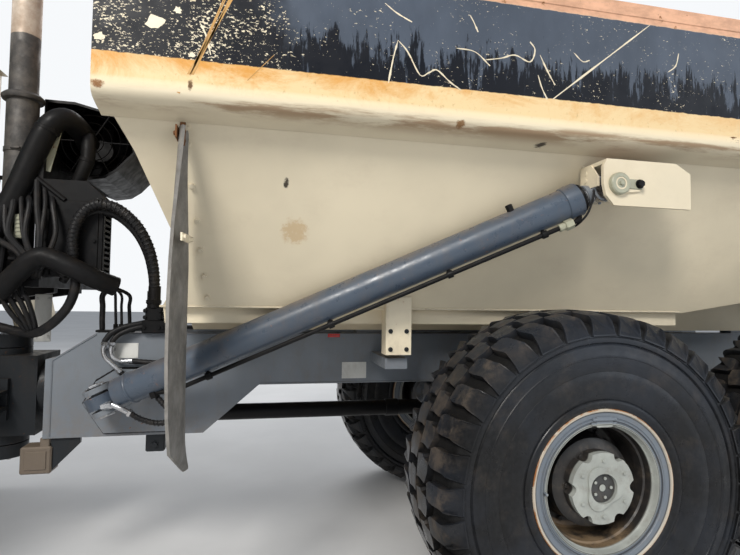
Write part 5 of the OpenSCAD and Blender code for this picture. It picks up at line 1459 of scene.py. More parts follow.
def make_flap(side):
    """A mud flap: thick rubber sheet that bellies a little, with its hanger, clamp plate and bolts"""
    mesh = bmesh.new()
    rows = ((2.56, 1.35, 1.44), (2.45, 1.335, 1.45), (2.32, 1.285, 1.47), (2.12, 1.15, 1.5), (1.95, 1.06, 1.5),
        (1.76, 1.02, 1.5), (1.5, 1.0, 1.5), (1.25, 1.0, 1.5), (1.1, 1.0, 1.46), (0.92, 1.02, 1.1))
    grid = []
    for z, inner, outer in rows:
        row = []
        for i in range(9):
            share = i / 8
            y = inner + (outer - inner) * share
            belly = 0.02 * math.sin((2.56 - z) * 2.1) + 0.012 * math.sin(share * 5 + z * 2)
            row.append(mesh.verts.new((BOGIE.x + FLAP_X + belly, y, z)))
        grid.append(row)
    for a, b in zip(grid, grid[1:]):
        for i in range(8):
            mesh.faces.new((a[i], a[i + 1], b[i + 1], b[i]))
    bmesh.ops.subdivide_edges(mesh, edges=mesh.edges[:], cuts=1, use_grid_fill=True, smooth=0.6)
    bmesh.ops.recalc_face_normals(mesh, faces=mesh.faces)
    bmesh.ops.solidify(mesh, geom=mesh.faces[:], thickness=0.014)
    piece = sided(mesh, side, "flap_sheet", "flap", "dump_body", "flap_rubber", 50)
    if side == "right":
        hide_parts("mud_flaps")
    mesh = bmesh.new()
    x = BOGIE.x + FLAP_X
    # hanger with a rusty clip, and the clamp plate lower down
    add_box(mesh, (x - 0.012, 1.37, 2.48), (x + 0.012, 1.385, 2.61), 0.003)
    add_box(mesh, (x + 0.016, 1.36, 2.5), (x + 0.024, 1.44, 2.56), 0.002)
    for z in (2.5, 2.545):
        add_bolt(mesh, (x, 1.385, z), (0, 1, 0), 0.022)
    add_bolt(mesh, (x + 0.024, 1.4, 2.53), (1, 0, 0), 0.02)
    sided(mesh, side, "flap_hanger", "rusty", "dump_body", "dark_paint")
    mesh = bmesh.new()
    # a short plate that holds the sheet, slightly tilted, with a bolt at each end
    start, end = Vector((x - 0.03, 1.235, 2.045)), Vector((x - 0.03, 1.505, 2.03))
    plate = [start, end, end + Vector((0, 0, 0.036)), start + Vector((0, 0, 0.036))]
    low_row = [mesh.verts.new(p) for p in plate]
    high_row = [mesh.verts.new(p + Vector((0.008, 0, 0))) for p in plate]
    mesh.faces.new(low_row)
    mesh.faces.new(list(reversed(high_row)))
    for k in range(4):
        m = (k + 1) % 4
        mesh.faces.new((low_row[m], low_row[k], high_row[k], high_row[m]))
    bmesh.ops.recalc_face_normals(mesh, faces=mesh.faces)
    for share in (0.06, 0.94):
        add_bolt(mesh, start + (end - start) * share + Vector((0, 0, 0.018)), (-1, 0, 0), 0.022)
    sided(mesh, side, "flap_clamp", "white", "dump_body", "cream_paint")


class TRUCK_OT_body(Maker, bpy.types.Operator):
    """Scratches, rail cap, seams, bracket bolts, guide posts' bolts and mud flaps of the dump body"""

    bl_idname = "truck.body"
    bl_label = "Dump Body Fittings"
    each_side = (make_scratches, make_roll, make_rail, make_bracket, make_posts, make_flap)
    once = (make_seams,)


STACK = Vector((BOGIE.x + 3.08, 0.45, 0.0))
PIVOT_X = BOGIE.x + 3.3


def make_exhaust():
    mesh = bmesh.new()
    base = Matrix.Translation(STACK)
    collar = [(2.93, 0.086), (2.936, 0.106), (2.946, 0.112), (2.958, 0.112), (2.966, 0.104), (2.974, 0.096),
        (2.98, 0.0785)]
    add_spin(mesh, collar, base, 56)
    for z in (2.3, 2.62):
        band = [(z, 0.0855), (z + 0.003, 0.0895), (z + 0.027, 0.0895), (z + 0.03, 0.0855)]
        add_spin(mesh, band, base, 56)
        add_bar(mesh, STACK + Vector((0.02, 0.092, z + 0.015)), STACK + Vector((-0.03, 0.092, z + 0.015)), 0.008, 12)
    tip = [(3.6, 0.07), (3.6295, 0.07), (3.6295, 0.0778), (3.615, 0.0782), (3.605, 0.0778)]
    add_spin(mesh, tip, base, 56)
    finished(mesh, "exhaust_bands", "exhaust", "tractor", "bright_steel")


def make_intake():
    """A broad black duct that slants down out of the shroud, its branch, and the fan and ribs in the shroud"""
    mesh = bmesh.new()
    duct = route((2.76, 0.3, 2.74), (2.77, 0.43, 2.79), (2.815, 0.56, 2.815), (2.885, 0.6, 2.745),
        (2.96, 0.6, 2.57), (3.03, 0.6, 2.37), (3.11, 0.6, 2.19), (3.16, 0.59, 2.06), (3.17, 0.56, 1.9))
    add_tube(mesh, duct, 0.128, 6, 24)
    branch = route((2.77, 0.34, 2.8), (2.718, 0.455, 2.725), (2.712, 0.47, 2.61), (2.735, 0.47, 2.535),
        (2.766, 0.46, 2.455), (2.806, 0.45, 2.36), (2.85, 0.44, 2.28), (2.88, 0.43, 2.2))
    add_tube(mesh, branch, 0.08, 5, 18)
    for start, end, size in ((duct[3], duct[4], 0.068), (duct[6], duct[7], 0.068), (branch[2], branch[3], 0.044)):
        add_bar(mesh, start, start + (end - start).normalized() * 0.022, size, 28, 0.003)
    finished(mesh, "intake_duct", "gasket", "tractor")
    mesh = bmesh.new()
    hub = at(2.735, 0.0, 2.755)
    add_bar(mesh, hub + Vector((0, -0.12, 0)), hub + Vector((0, 0.12, 0)), 0.075, 28, 0.004)
    for i in range(7):
        blade = turned(360 * i / 7, "Y") @ Matrix.Translation((0, 0, 0.13)) @ turned(35, "Z")
        place = Matrix.Translation(hub) @ blade @ Matrix.Diagonal((0.075, 0.008, 0.13, 1))
        bmesh.ops.create_cube(mesh, size=1, matrix=place)
    # guard: rings and bars across the mouth
    wire = ((0, -0.003), (0.006, 0), (0, 0.003), (-0.006, 0), (0, -0.003))
    for radius in (0.07, 0.12, 0.17, 0.212):
        ring = [(0.335 + out, radius + up) for out, up in wire]
        add_spin(mesh, ring, Matrix.Translation(hub) @ turned(-90, "X"), 40)
    for angle in (0, 60, 120):
        arm = turned(angle, "Y") @ Vector((0.222, 0, 0))
        centre = hub + Vector((0, 0.335, 0))
        add_bar(mesh, centre - arm, centre + arm, 0.004, 8, 0)
    finished(mesh, "intake_fan", "gasket", "tractor", None, 20)


def make_cooler():
    """Bolts and hinges on the black cooler box with the slotted edge"""
    low, high = Vector((2.57, 0.45, 1.89)), Vector((2.901, 0.6, 2.45))
    mesh = bmesh.new()
    add_box(mesh, at(low.x + 0.03, high.y, low.z + 0.02), at(high.x - 0.012, high.y + 0.006, 2.33), 0.002)
    add_box(mesh, at(low.x + 0.006, high.y - 0.002, low.z + 0.004), at(low.x + 0.014, high.y + 0.007, 2.335), 0.001)
    for z in (1.93, 2.1, 2.29):
        add_bolt(mesh, at(high.x - 0.03, high.y + 0.006, z), (0, 1, 0), 0.016)
        add_bolt(mesh, at(low.x + 0.048, high.y + 0.006, z), (0, 1, 0), 0.016)
    for z in (1.95, 2.26):
        add_bar(mesh, at(high.x - 0.006, high.y + 0.008, z), at(high.x - 0.006, high.y + 0.008, z + 0.07), 0.008, 12)
    finished(mesh, "cooler_fittings", "black", "tractor", "dark_paint")


def make_loops():
    """The big hoses that arch over the pivot from the tractor to the rear unit"""
    thick = fittings().thick_hose * 1.35
    arch = route((2.78, 0.6, 1.9), (2.716, 0.65, 1.996), (2.715, 0.66, 2.1), (2.695, 0.66, 2.205),
        (2.645, 0.66, 2.283), (2.58, 0.66, 2.313), (2.484, 0.655, 2.288), (2.385, 0.64, 2.2),
        (2.325, 0.6, 2.08), (2.3, 0.555, 1.95), (2.3, 0.505, 1.83))
    for name, part, a, b in (("front", arch[:6], "tractor", "hitch"), ("rear", arch[5:], "hitch", "rear_chassis")):
        mesh = bmesh.new()
        add_tube(mesh, part, thick, 9, 16)
        add_guard(mesh, part, thick, 9)
        add_tube(mesh, [p + Vector((0.02, -0.075, -0.03)) for p in part], thick * 0.9, 9, 14, 0.03)
        hang(mesh, f"arch_hose_{name}", "hose", a, b, part[0], part[-1])
    # a tangle of thin hoses ahead of the cooler
    mesh = bmesh.new()
    for k in range(9):
        x = 3.17 - 0.04 * k
        path = route((x, 0.6, 2.44 - 0.05 * (k % 3)), (x - 0.025, 0.65, 2.28),
            (x - 0.05 + 0.03 * (k % 2), 0.672, 2.12), (2.985 - 0.016 * k, 0.668, 2.02 - 0.008 * k),
            (2.96 - 0.01 * k, 0.64, 1.93), (2.99 - 0.01 * k, 0.58, 1.88))
        add_tube(mesh, path, (0.034, 0.024, 0.029)[k % 3], 6, 10, 0.03)
    for k in range(4):
        path = route((3.16 - 0.05 * k, 0.56, 1.9), (3.1 - 0.04 * k, 0.6, 1.8),
            (3.04 - 0.03 * k, 0.6, 1.69 + 0.02 * k), (2.99 - 0.02 * k, 0.54, 1.6), (2.99, 0.42, 1.54))
        add_tube(mesh, path, 0.028, 6, 10, 0.03)
    finished(mesh, "hose_tangle", "hose", "tractor")
    low = route((2.73, 0.6, 1.96), (2.703, 0.62, 1.85), (2.735, 0.61, 1.735), (2.8, 0.59, 1.65),
        (2.87, 0.56, 1.595), (2.94, 0.52, 1.565), (3.05, 0.46, 1.57), (3.2, 0.4, 1.6))
    mesh = bmesh.new()
    add_tube(mesh, low, thick * 0.92, 8, 16, 0.03)
    finished(mesh, "low_hose", "hose", "tractor")


def make_bundle():
    """A sleeved bundle of thin hoses that drops to fittings on the side member"""
    mesh = bmesh.new()
    core = route((3.082, 0.64, 1.79), (2.988, 0.665, 1.9), (2.869, 0.68, 1.995), (2.729, 0.68, 1.95),
        (2.6, 0.65, 1.884), (2.5, 0.585, 1.84))
    add_tube(mesh, core, 0.112, 7, 18, 0.02)
    hang(mesh, "hose_bundle", "gasket", "tractor", "hitch", core[0], core[-1])
    mesh = bmesh.new()
    thin = fittings().thin_hose
    drops = ((2.594, 2.6, 0.033), (2.53, 2.527, thin * 0.75), (2.5, 2.497, thin * 0.75), (2.46, 2.454, thin))
    for k, (top_x, low_x, size) in enumerate(drops):
        y = 0.47 - 0.012 * k
        path = route((2.5 + 0.02 * k, 0.56, 1.85), (top_x, y + 0.01, 1.795), ((top_x + low_x) / 2, y, 1.72),
            (low_x, y - 0.01, 1.64), (low_x, y - 0.02, 1.585))
        add_tube(mesh, path, size, 6, 10)
    hang(mesh, "drop_hoses", "hose", "hitch", "rear_chassis", at(2.5, 0.5, 1.85), at(2.5, 0.45, 1.66))
    mesh = bmesh.new()
    # manifold block where the arch and the thin hoses end
    add_box(mesh, at(2.225, 0.4, 1.5665), at(2.36, 0.545, 1.64), 0.004)
    add_box(mesh, at(2.25, 0.42, 1.638), at(2.345, 0.53, 1.72), 0.004)
    for dy in (0.0, -0.075):
        x = 2.3 + (0.02 if dy else 0)
        z = 1.8 if dy else 1.83
        add_bar(mesh, at(x, 0.505 + dy, 1.715), at(x, 0.505 + dy, z + 0.02), 0.036, 20, 0.003)
        add_bar(mesh, at(x, 0.505 + dy, 1.74), at(x, 0.505 + dy, 1.765), 0.044, 6, 0.003)
    for dx in (2.24, 2.262, 2.345):
        for z in (1.6, 1.66, 1.7):
            add_bolt(mesh, at(dx, 0.5455 if z < 1.62 else 0.5305, z), (0, 1, 0), 0.018)
    for x in (2.6, 2.527, 2.497, 2.454):
        add_bar(mesh, at(x, 0.445, 1.5665), at(x, 0.445, 1.615), 0.014, 6, 0.001)
    add_box(mesh, at(2.42, 0.42, 1.5665), at(2.63, 0.48, 1.58), 0.002)
    finished(mesh, "hose_manifold", "black", "rear_chassis", "dark_paint")


def make_brackets():
    """Plates and a slotted cover that hold the hoses on the tractor's back"""
    mesh = bmesh.new()
    add_box(mesh, at(2.915, 0.345, 1.5), at(3.01, 0.353, 1.79), 0.003)
    for x in (2.93, 2.995):
        for z in (1.53, 1.76):
            add_bolt(mesh, at(x, 0.353, z), (0, 1, 0), 0.016)
    finished(mesh, "pale_bracket", "plate", "tractor", "cream_paint")
    # bright sheet beside the duct and a pale switch box with slots
    mesh = bmesh.new()
    lean = turned(-12, "Y")
    add_box(mesh, at(2.85, 0.56, 2.5), at(2.905, 0.566, 2.76), 0.002, lean)
    add_box(mesh, at(2.955, 0.615, 2.1), at(3.02, 0.645, 2.235), 0.004)
    for k in range(5):
        add_box(mesh, at(2.962, 0.643, 2.112 + 0.023 * k), at(3.013, 0.65, 2.124 + 0.023 * k), 0.001)
    finished(mesh, "switch_box", "plated", "tractor", "bright_steel")
    mesh = bmesh.new()
    for x in (3.02, 3.1, 3.18):
        add_bar(mesh, at(x, 0.6, 1.875), at(x - 0.05, 0.6, 2.45), 0.016, 10)
    for z in (1.98, 2.02, 2.06, 2.1):
        add_box(mesh, at(2.985, 0.585, z), at(3.06, 0.607, z + 0.018), 0.002)
    add_bar(mesh, at(2.93, 0.605, 2.45), at(2.78, 0.605, 2.33), 0.014, 10)
    add_bar(mesh, at(2.84, 0.605, 2.33), at(2.86, 0.605, 1.9), 0.016, 10)
    finished(mesh, "hose_supports", "black", "tractor", "dark_paint")


def make_steering():
    """Pins, washers and grease fittings of the steering cylinders and the pivot"""
    mesh = bmesh.new()
    pivot_low, pivot_high = 0.74, 1.53
    for sign in (1, -1):
        fore = Vector((PIVOT_X + 0.9, 0.3 * sign, 1.13))
        add_bar(mesh, fore + Vector((0, 0, 0.062)), fore + Vector((0, 0, 0.078)), 0.034, 24, 0.003)
        add_bolt(mesh, fore + Vector((0, 0, 0.078)), (0, 0, 1), 0.02)
    for z, way in ((pivot_high + 0.0002, 1), (pivot_low, -1)):
        for dx, y in circle(8, 0.105):
            add_bolt(mesh, (PIVOT_X + dx, y, z), (0, 0, way), 0.024)
    finished(mesh, "pivot_bolts", "steel", "tractor", "bright_steel")
    for side, sign in SIDES.items():
        mesh = bmesh.new()
        aft = Vector((PIVOT_X - 0.03, 0.3 * sign, 1.13))
        add_bar(mesh, aft - Vector((0, 0, 0.075)), aft + Vector((0, 0, 0.075)), 0.0275, 24, 0.003)
        for s in (1, -1):
            add_bar(mesh, aft + Vector((0, 0, s * 0.063)), aft + Vector((0, 0, s * 0.077)), 0.046, 28, 0.003)
        finished(mesh, f"steer_pin_{side}", "steel", "hitch", "bright_steel")


class TRUCK_OT_tractor_back(Maker, bpy.types.Operator):
    """Exhaust, intake duct, cooler box, hoses and steering pins behind the cab"""

    bl_idname = "truck.tractor_back"
    bl_label = "Back of the Tractor"
    once = (make_exhaust, make_intake, make_cooler, make_loops, make_bundle, make_brackets, make_steering)


def hang(mesh, name, material, body_a, body_b, start, end):
    """A hose that is held by one body at its start and by the next at its end."""
    piece = finished(mesh, name, material, body_a)
    piece.parent = None
    del piece["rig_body"]
    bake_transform(piece, body_a, body_b, start=start, end=end)


def outline_gasket(mesh, corners, place, width=0.016, lift=0.008):
    """A strip around an opening whose corners are given in a place's own X and Y."""
    piece = bmesh.new()
    centre = sum((Vector(p) for p in corners), Vector((0, 0))) / len(corners)
    grown = [(x + math.copysign(width, x - centre.x), y + math.copysign(width, y - centre.y)) for x, y in corners]
    opening = piece.faces.new([piece.verts.new((x, y, -0.002)) for x, y in grown])
    bmesh.ops.bevel(piece, geom=opening.verts[:], offset=0.03, segments=3, profile=0.5, affect="VERTICES")
    opening = piece.faces[:]
    bmesh.ops.inset_region(piece, faces=opening, thickness=width * 1.5, use_boundary=True, use_even_offset=True)
    bmesh.ops.delete(piece, geom=opening, context="FACES")
    made = bmesh.ops.extrude_face_region(piece, geom=piece.faces[:])
    bmesh.ops.translate(piece, vec=(0, 0, lift + 0.002), verts=verts_of(made))
    bmesh.ops.transform(piece, matrix=place, verts=piece.verts)
    merge(mesh, piece)


def wall_place(y, sign):
    """A frame whose X runs forward and Y up, standing on a side wall and facing out."""
    return Matrix(((1, 0, 0, 0), (0, 0, sign, y * sign), (0, 1, 0, 0), (0, 0, 0, 1)))


def make_windows():
    mesh = bmesh.new()
    rear = rectangle((2.2, 2.65), (2.37, 3.43))
    quarter = [(3.3, 2.65), (3.58, 2.65), (3.415, 3.43), (3.3, 3.43)]
    middle_pane = rectangle((2.5, 2.65), (3.18, 3.43))
    for sign in (1, -1):
        for corners in (rear, quarter, *([middle_pane] if sign < 0 else [])):
            outline_gasket(mesh, corners, wall_place(CAB_SIDE, sign))
    back = Matrix(((0, 0, -1, 2.11), (1, 0, 0, 0), (0, 1, 0, 0), (0, 0, 0, 1)))
    outline_gasket(mesh, rectangle((-0.68, 2.65), (0.68, 3.43)), back)
    slope = 0.21 / 0.92
    lean = Matrix(((0, -slope, 1, 3.67 + slope * 2.64), (1, 0, 0, 0), (0, 1, slope, 0), (0, 0, 0, 1)))
    outline_gasket(mesh, [(-0.71, 2.69), (0.71, 2.69), (0.69, 3.47), (-0.69, 3.47)], lean)
    finished(mesh, "window_rubbers", "gasket", "tractor", "dark_paint")
    # the wiper: two arms, its blade and the motor's cap
    mesh = bmesh.new()

    def on_glass(y, z, out):
        return Vector((3.67 - slope * (z - 2.64) + out, y, z))

    add_bar(mesh, on_glass(0.05, 2.672, 0.0), on_glass(0.05, 2.672, 0.03), 0.022, 20)
    add_bar(mesh, on_glass(0.05, 2.672, 0.028), on_glass(-0.2, 3.05, 0.026), 0.007, 10)
    add_bar(mesh, on_glass(0.11, 2.672, 0.028), on_glass(-0.14, 3.05, 0.026), 0.005, 10)
    add_bar(mesh, on_glass(-0.17, 2.76, 0.014), on_glass(-0.17, 3.36, 0.014), 0.008, 8)
    add_bar(mesh, on_glass(-0.22, 3.05, 0.022), on_glass(-0.12, 3.05, 0.022), 0.006, 8)
    finished(mesh, "wiper", "gasket", "tractor", "dark_paint")


def make_door():
    mesh = bmesh.new()
    outline_gasket(mesh, rectangle((2.52, 2.53), (3.16, 3.41)), wall_place(CAB_SIDE, 1))
    add_box(mesh, (3.085, 0.799, 2.4), (3.195, 0.806, 2.47), 0.004)
    add_bar(mesh, (3.1, 0.822, 2.435), (3.18, 0.822, 2.435), 0.011, 14)
    for x in (3.1, 3.18):
        add_bar(mesh, (x, 0.803, 2.435), (x, 0.824, 2.435), 0.008, 12)
    finished(mesh, "door_rubber_handle", "gasket", "door", "dark_paint")
    mesh = bmesh.new()
    outline_gasket(mesh, rectangle((2.5, 2.125), (3.18, 2.5)), wall_place(CAB_SIDE, 1), 0.008, 0.004)
    for z in (2.22, 3.245):
        for dx in (0.045, 0.085):
            add_bolt(mesh, (2.456 + dx, 0.81, z + 0.05), (0, 1, 0), 0.016)
    finished(mesh, "door_panel_folds", "cream", "door", "cream_paint")


def make_outside():
    mesh = bmesh.new()
    lens = bmesh.new()
    for y in (-0.6, -0.42, 0.42, 0.6):
        add_box(mesh, (3.47, y - 0.07, 3.478), (3.525, y + 0.07, 3.552), 0.008)
        add_box(lens, (3.5245, y - 0.056, 3.49), (3.529, y + 0.056, 3.54), 0.002)
    for y in (-0.6, 0.6):
        add_box(mesh, (2.074, y - 0.07, 3.466), (2.112, y + 0.07, 3.545), 0.008)
        add_box(lens, (2.0705, y - 0.056, 3.478), (2.0745, y + 0.056, 3.533), 0.001)
    finished(mesh, "work_lamp_cases", "black", "tractor", "dark_paint")
    finished(lens, "work_lamp_lenses", "clear_lamp", "tractor", "lamp")
    mesh = bmesh.new()
    # ribs on the roof, panel folds and bolts round the cab
    for y in (-0.54, -0.27, 0.0, 0.27, 0.54):
        add_box(mesh, (2.2, y - 0.055, 3.6195), (3.42, y + 0.055, 3.6285), 0.004)
    for sign in (1, -1):
        for low, high in (((2.18, 2.02), (2.39, 2.59)), ((3.29, 2.02), (3.6, 2.59))):
            outline_gasket(mesh, rectangle(low, high), wall_place(CAB_SIDE, sign), 0.008, 0.004)
        for x in (2.15, 2.65, 3.15, 3.6):
            add_bolt(mesh, (x, 0.8 * sign, 1.99), (0, sign, 0), 0.022)
    finished(mesh, "cab_folds", "cream", "tractor", "cream_paint")
    # mirrors on the rails, their arms and glass
    mesh, glass = bmesh.new(), bmesh.new()
    for sign in (1, -1):
        x, y, z = 3.57, 1.5675 * sign, 3.04
        add_box(mesh, (x - 0.024, y - 0.0903, z - 0.194), (x + 0.034, y + 0.0903, z + 0.19), 0.014, None, 3)
        add_box(glass, (x - 0.0265, y - 0.08, z - 0.178), (x - 0.0235, y + 0.08, z + 0.06), 0.001)
        add_box(glass, (x - 0.0265, y - 0.08, z + 0.075), (x - 0.0235, y + 0.08, z + 0.176), 0.001)
        for dz in (-0.12, 0.12):
            add_bar(mesh, (x + 0.02, y, z + dz), (x + 0.055, y - 0.05 * sign, z + dz), 0.01, 12)
        add_bar(mesh, (x + 0.055, y - 0.05 * sign, z - 0.16), (x + 0.055, y - 0.05 * sign, z + 0.16), 0.012, 12)
    finished(mesh, "mirror_cases", "gasket", "tractor", "dark_paint")
    finished(glass, "mirror_glass", "mirror", "tractor", "bright_steel")
    # grip pads on the fenders and treads on the steps
    mesh = bmesh.new()
    for sign in (1, -1):
        for x0, x1 in ((2.36, 2.86), (2.94, 3.54)):
            add_box(mesh, (x0, 0.9 * sign, 1.8895), (x1, 1.48 * sign, 1.8955), 0.002)
        for z in (0.53, 0.76, 0.99):
            for k in range(7):
                x = 3.968 + 0.0145 * k
                add_box(mesh, (x, 1.16 * sign, z - 0.001), (x + 0.006, 1.55 * sign, z + 0.006), 0.0015)
    finished(mesh, "grip_pads", "gasket", "tractor", "dark_paint")


def make_inside():
    mesh = bmesh.new()
    add_box(mesh, (2.478, -0.245, 2.515), (2.985, 0.245, 2.56), 0.02, None, 3)
    lean = turned(-6.5, "Y")
    for z0, z1 in ((2.56, 2.84), (2.86, 3.12)):
        add_box(mesh, (2.44, -0.225, z0), (2.5, 0.225, z1), 0.022, lean, 3)
    for y in (-0.27, 0.27):
        add_box(mesh, (2.56, y - 0.035, 2.7), (2.86, y + 0.035, 2.745), 0.014, None, 2)
        add_bar(mesh, (2.6, y, 2.55), (2.6, y, 2.71), 0.014, 12)
    finished(mesh, "seat_cushions", "trim", "tractor", "dark_paint")
    mesh = bmesh.new()
    for y in (-0.42, 0.42):
        add_box(mesh, (3.36, y - 0.11, 2.7), (3.385, y + 0.11, 2.84), 0.006)
        add_bar(mesh, (3.39, y, 2.66), (3.375, y, 2.72), 0.012, 12)
    for y in (-0.16, -0.02, 0.14):
        add_box(mesh, (3.13, y - 0.04, 2.1), (3.16, y + 0.04, 2.22), 0.005, turned(25, "Y"))
    for k in range(3):
        add_bar(mesh, (2.8, 0.27, 2.745), (2.825 + 0.01 * k, 0.25 + 0.03 * k, 2.84), 0.006, 10)
        x, y = 2.825 + 0.01 * k, 0.25 + 0.03 * k
        add_bar(mesh, (x, y, 2.835), (x + 0.005, y, 2.865), 0.014, 14, 0.004)
    finished(mesh, "cab_controls", "gasket", "tractor", "dark_paint")


class TRUCK_OT_cab(Maker, bpy.types.Operator):
    """Window rubbers, wiper, handles, lamps, mirrors, pads and seat cushions of the cab"""

    bl_idname = "truck.cab"
    bl_label = "Cab Fittings"
    once = (make_windows, make_door, make_outside, make_inside)


def make_hood():
    dark, mesh = bmesh.new(), bmesh.new()
    for sign in (1, -1):
        outer = 0.79
        outline = rectangle((3.78, 1.98), (4.17, 2.36))
        outline_gasket(mesh, outline, wall_place(outer, sign), 0.014, 0.006)
        for k in range(12):
            z = 2.0 + k * 0.029
            slat = turned(28 * sign, "X")
            y = (outer + 0.004) * sign
            add_box(dark, (3.796, y - 0.01, z), (4.154, y + 0.004, z + 0.006), 0.001, slat)
        # a black sheet behind the slats: painted shade standing in for the dark opening of the vent
        add_box(dark, (3.794, 0.789 * sign, 1.994), (4.156, 0.7915 * sign, 2.346), 0.0005)
        for x in (3.74, 4.16):
            add_box(dark, (x - 0.02, 0.789 * sign, 1.925), (x + 0.02, 0.812 * sign, 1.965), 0.005)
    # raised panel on the hood's top, with a slotted vent
    slope = math.atan2(0.25, 1.11)
    place = Matrix.Translation((4.235, 0, 2.5675)) @ Matrix.Rotation(slope, 4, "Y")
    for y in (-0.3, 0.3):
        rib = bmesh.new()
        add_box(rib, (-0.46, y - 0.04, -0.006), (0.46, y + 0.04, 0.008), 0.004)
        bmesh.ops.transform(rib, matrix=place, verts=rib.verts)
        merge(mesh, rib)
    vent = bmesh.new()
    for k in range(11):
        add_box(vent, (-0.3 + 0.045 * k, -0.19, -0.004), (-0.28 + 0.045 * k, 0.19, 0.007), 0.002)
    bmesh.ops.transform(vent, matrix=place, verts=vent.verts)
    merge(dark, vent)
    finished(mesh, "hood_folds", "cream", "hood", "cream_paint")
    finished(dark, "hood_vents", "black", "hood", "dark_paint")
    mesh = bmesh.new()
    for k in range(19):
        y = -0.415 + k * 0.0461
        add_bar(mesh, (5.198, y, 1.692), (5.198, y, 1.968), 0.004, 8)
    add_box(mesh, (5.206, -0.19, 1.79), (5.2155, 0.19, 1.87), 0.003)
    finished(mesh, "grille_rods", "gasket", "hood", "dark_paint")


def make_nose():
    mesh, lens, dark = bmesh.new(), bmesh.new(), bmesh.new()
    for sign in (1, -1):
        for y in (1.205, 1.345):
            centre = Vector((5.3185, y * sign, 1.3))
            place = Matrix.Translation(centre) @ turned(90, "Y")
            add_spin(mesh, [(0.0, 0.058), (0.006, 0.064), (0.01, 0.062), (0.01, 0.054), (0.002, 0.05)], place, 32)
            dome = [(0.0, 0.0515), (0.005, 0.048), (0.009, 0.035), (0.0105, 0.018), (0.011, 0.0)]
            add_spin(lens, dome, place, 32)
            bmesh.ops.create_circle(lens, cap_ends=True, segments=32, radius=0.0515, matrix=place)
        for x, y in ((5.232, 0.62), (5.232, 1.3)):
            add_bolt(dark, (x, y * sign, 1.2095), (0, 0, 1), 0.026)
    add_bar(dark, (5.316, 0, 0.82), (5.316, 0, 1.085), 0.0245, 24, 0.003)
    add_bar(dark, (5.316, 0, 1.2), (5.316, 0, 1.216), 0.034, 24, 0.003)
    finished(mesh, "lamp_rims", "plated", "tractor", "dark_paint")
    finished(lens, "headlamp_domes", "clear_lamp", "tractor", "lamp")
    finished(dark, "bumper_fittings", "steel", "tractor", "bright_steel")


def make_engine():
    """Covers, filter and pipes on the engine under the hood"""
    low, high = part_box("engine_block")
    mesh = bmesh.new()
    top = high.z
    for k in range(6):
        x = low.x + 0.42 + k * 0.235
        add_box(mesh, (x, -0.13, top - 0.002), (x + 0.195, 0.13, top + 0.045), 0.01)
        add_bolt(mesh, (x + 0.0975, 0.0, top + 0.045), (0, 0, 1), 0.022)
    add_bar(mesh, (low.x + 0.55, 0.3, top + 0.05), (low.x + 1.15, 0.3, top + 0.05), 0.085, 28, 0.006)
    for x in (0.62, 0.85, 1.08):
        ring = [(0, 0.0855), (0.003, 0.0905), (0.02, 0.0905), (0.023, 0.0855)]
        add_spin(mesh, ring, Matrix.Translation((low.x + x, 0.3, top + 0.05)) @ turned(90, "Y"), 28)
    finished(mesh, "engine_covers", "grey", "tractor", "dark_paint")
    mesh = bmesh.new()
    pipes = ((0.085, (1.15, 0.3, 0.05), (1.32, 0.27, 0.04), (1.46, 0.18, 0.03), (1.62, 0.16, -0.04)),
        (0.052, (0.6, -0.3, -0.02), (0.95, -0.31, 0.05), (1.35, -0.3, 0.05), (1.75, -0.29, -0.02)),
        (0.03, (0.6, -0.22, -0.02), (0.9, -0.22, 0.03), (1.2, -0.23, 0.03), (1.5, -0.22, -0.02)))
    for size, *points in pipes:
        add_tube(mesh, [(low.x + x, y, top + z) for x, y, z in points], size, 7, 14)
    finished(mesh, "engine_pipes", "hose", "tractor", "dark_paint")


def make_tail():
    mesh, lens = bmesh.new(), bmesh.new()
    for sign in (1, -1):
        x, y, z = FRAME_LOW.x + 0.012, 0.44 * sign, 1.33
        add_box(mesh, (x - 0.01, y - 0.055, z - 0.075), (x + 0.03, y + 0.055, z + 0.075), 0.006)
        for dz in (-0.036, 0.036):
            add_bar(lens, (x - 0.0115, y, z + dz), (x - 0.008, y, z + dz), 0.03, 24, 0.001)
    finished(mesh, "tail_lamp_cases", "gasket", "rear_chassis", "dark_paint")
    finished(lens, "tail_lamp_lenses", "red_lamp", "rear_chassis", "lamp")


def make_axles():
    """Bolt rings and brake pipes on the three axles"""
    for place, body, centres in (("front", "tractor", (FRONT_AXLE_X,)),
            ("bogie", "rear_chassis", (BOGIE.x, REAR_X))):
        mesh, pipes = bmesh.new(), bmesh.new()
        for x in centres:
            for sign in (1, -1):
                pipe = ((0.1, 0.3, 1.02), (0.13, 0.45, 1.04), (0.12, 0.65, 1.03), (0.11, 0.86, 1.0))
                add_tube(pipes, [(x + ahead, y * sign, z) for ahead, y, z in pipe], 0.018, 6, 10)
                for dx, dz in circle(10, 0.075):
                    add_bolt(mesh, (x + dx, 0.93 * sign, 0.875 + dz), (0, -sign, 0), 0.02)
        finished(mesh, f"{place}_axle_bolts", "steel", body, "bright_steel")
        finished(pipes, f"{place}_axle_pipes", "hose", body, "dark_paint")


class TRUCK_OT_front(Maker, bpy.types.Operator):
    """Vents, latches, lamps, grille bars, bumper fittings and engine parts at the nose, and the tail lamps"""

    bl_idname = "truck.front"
    bl_label = "Nose and Tail Fittings"
    once = (make_hood, make_nose, make_engine, make_tail, make_axles)


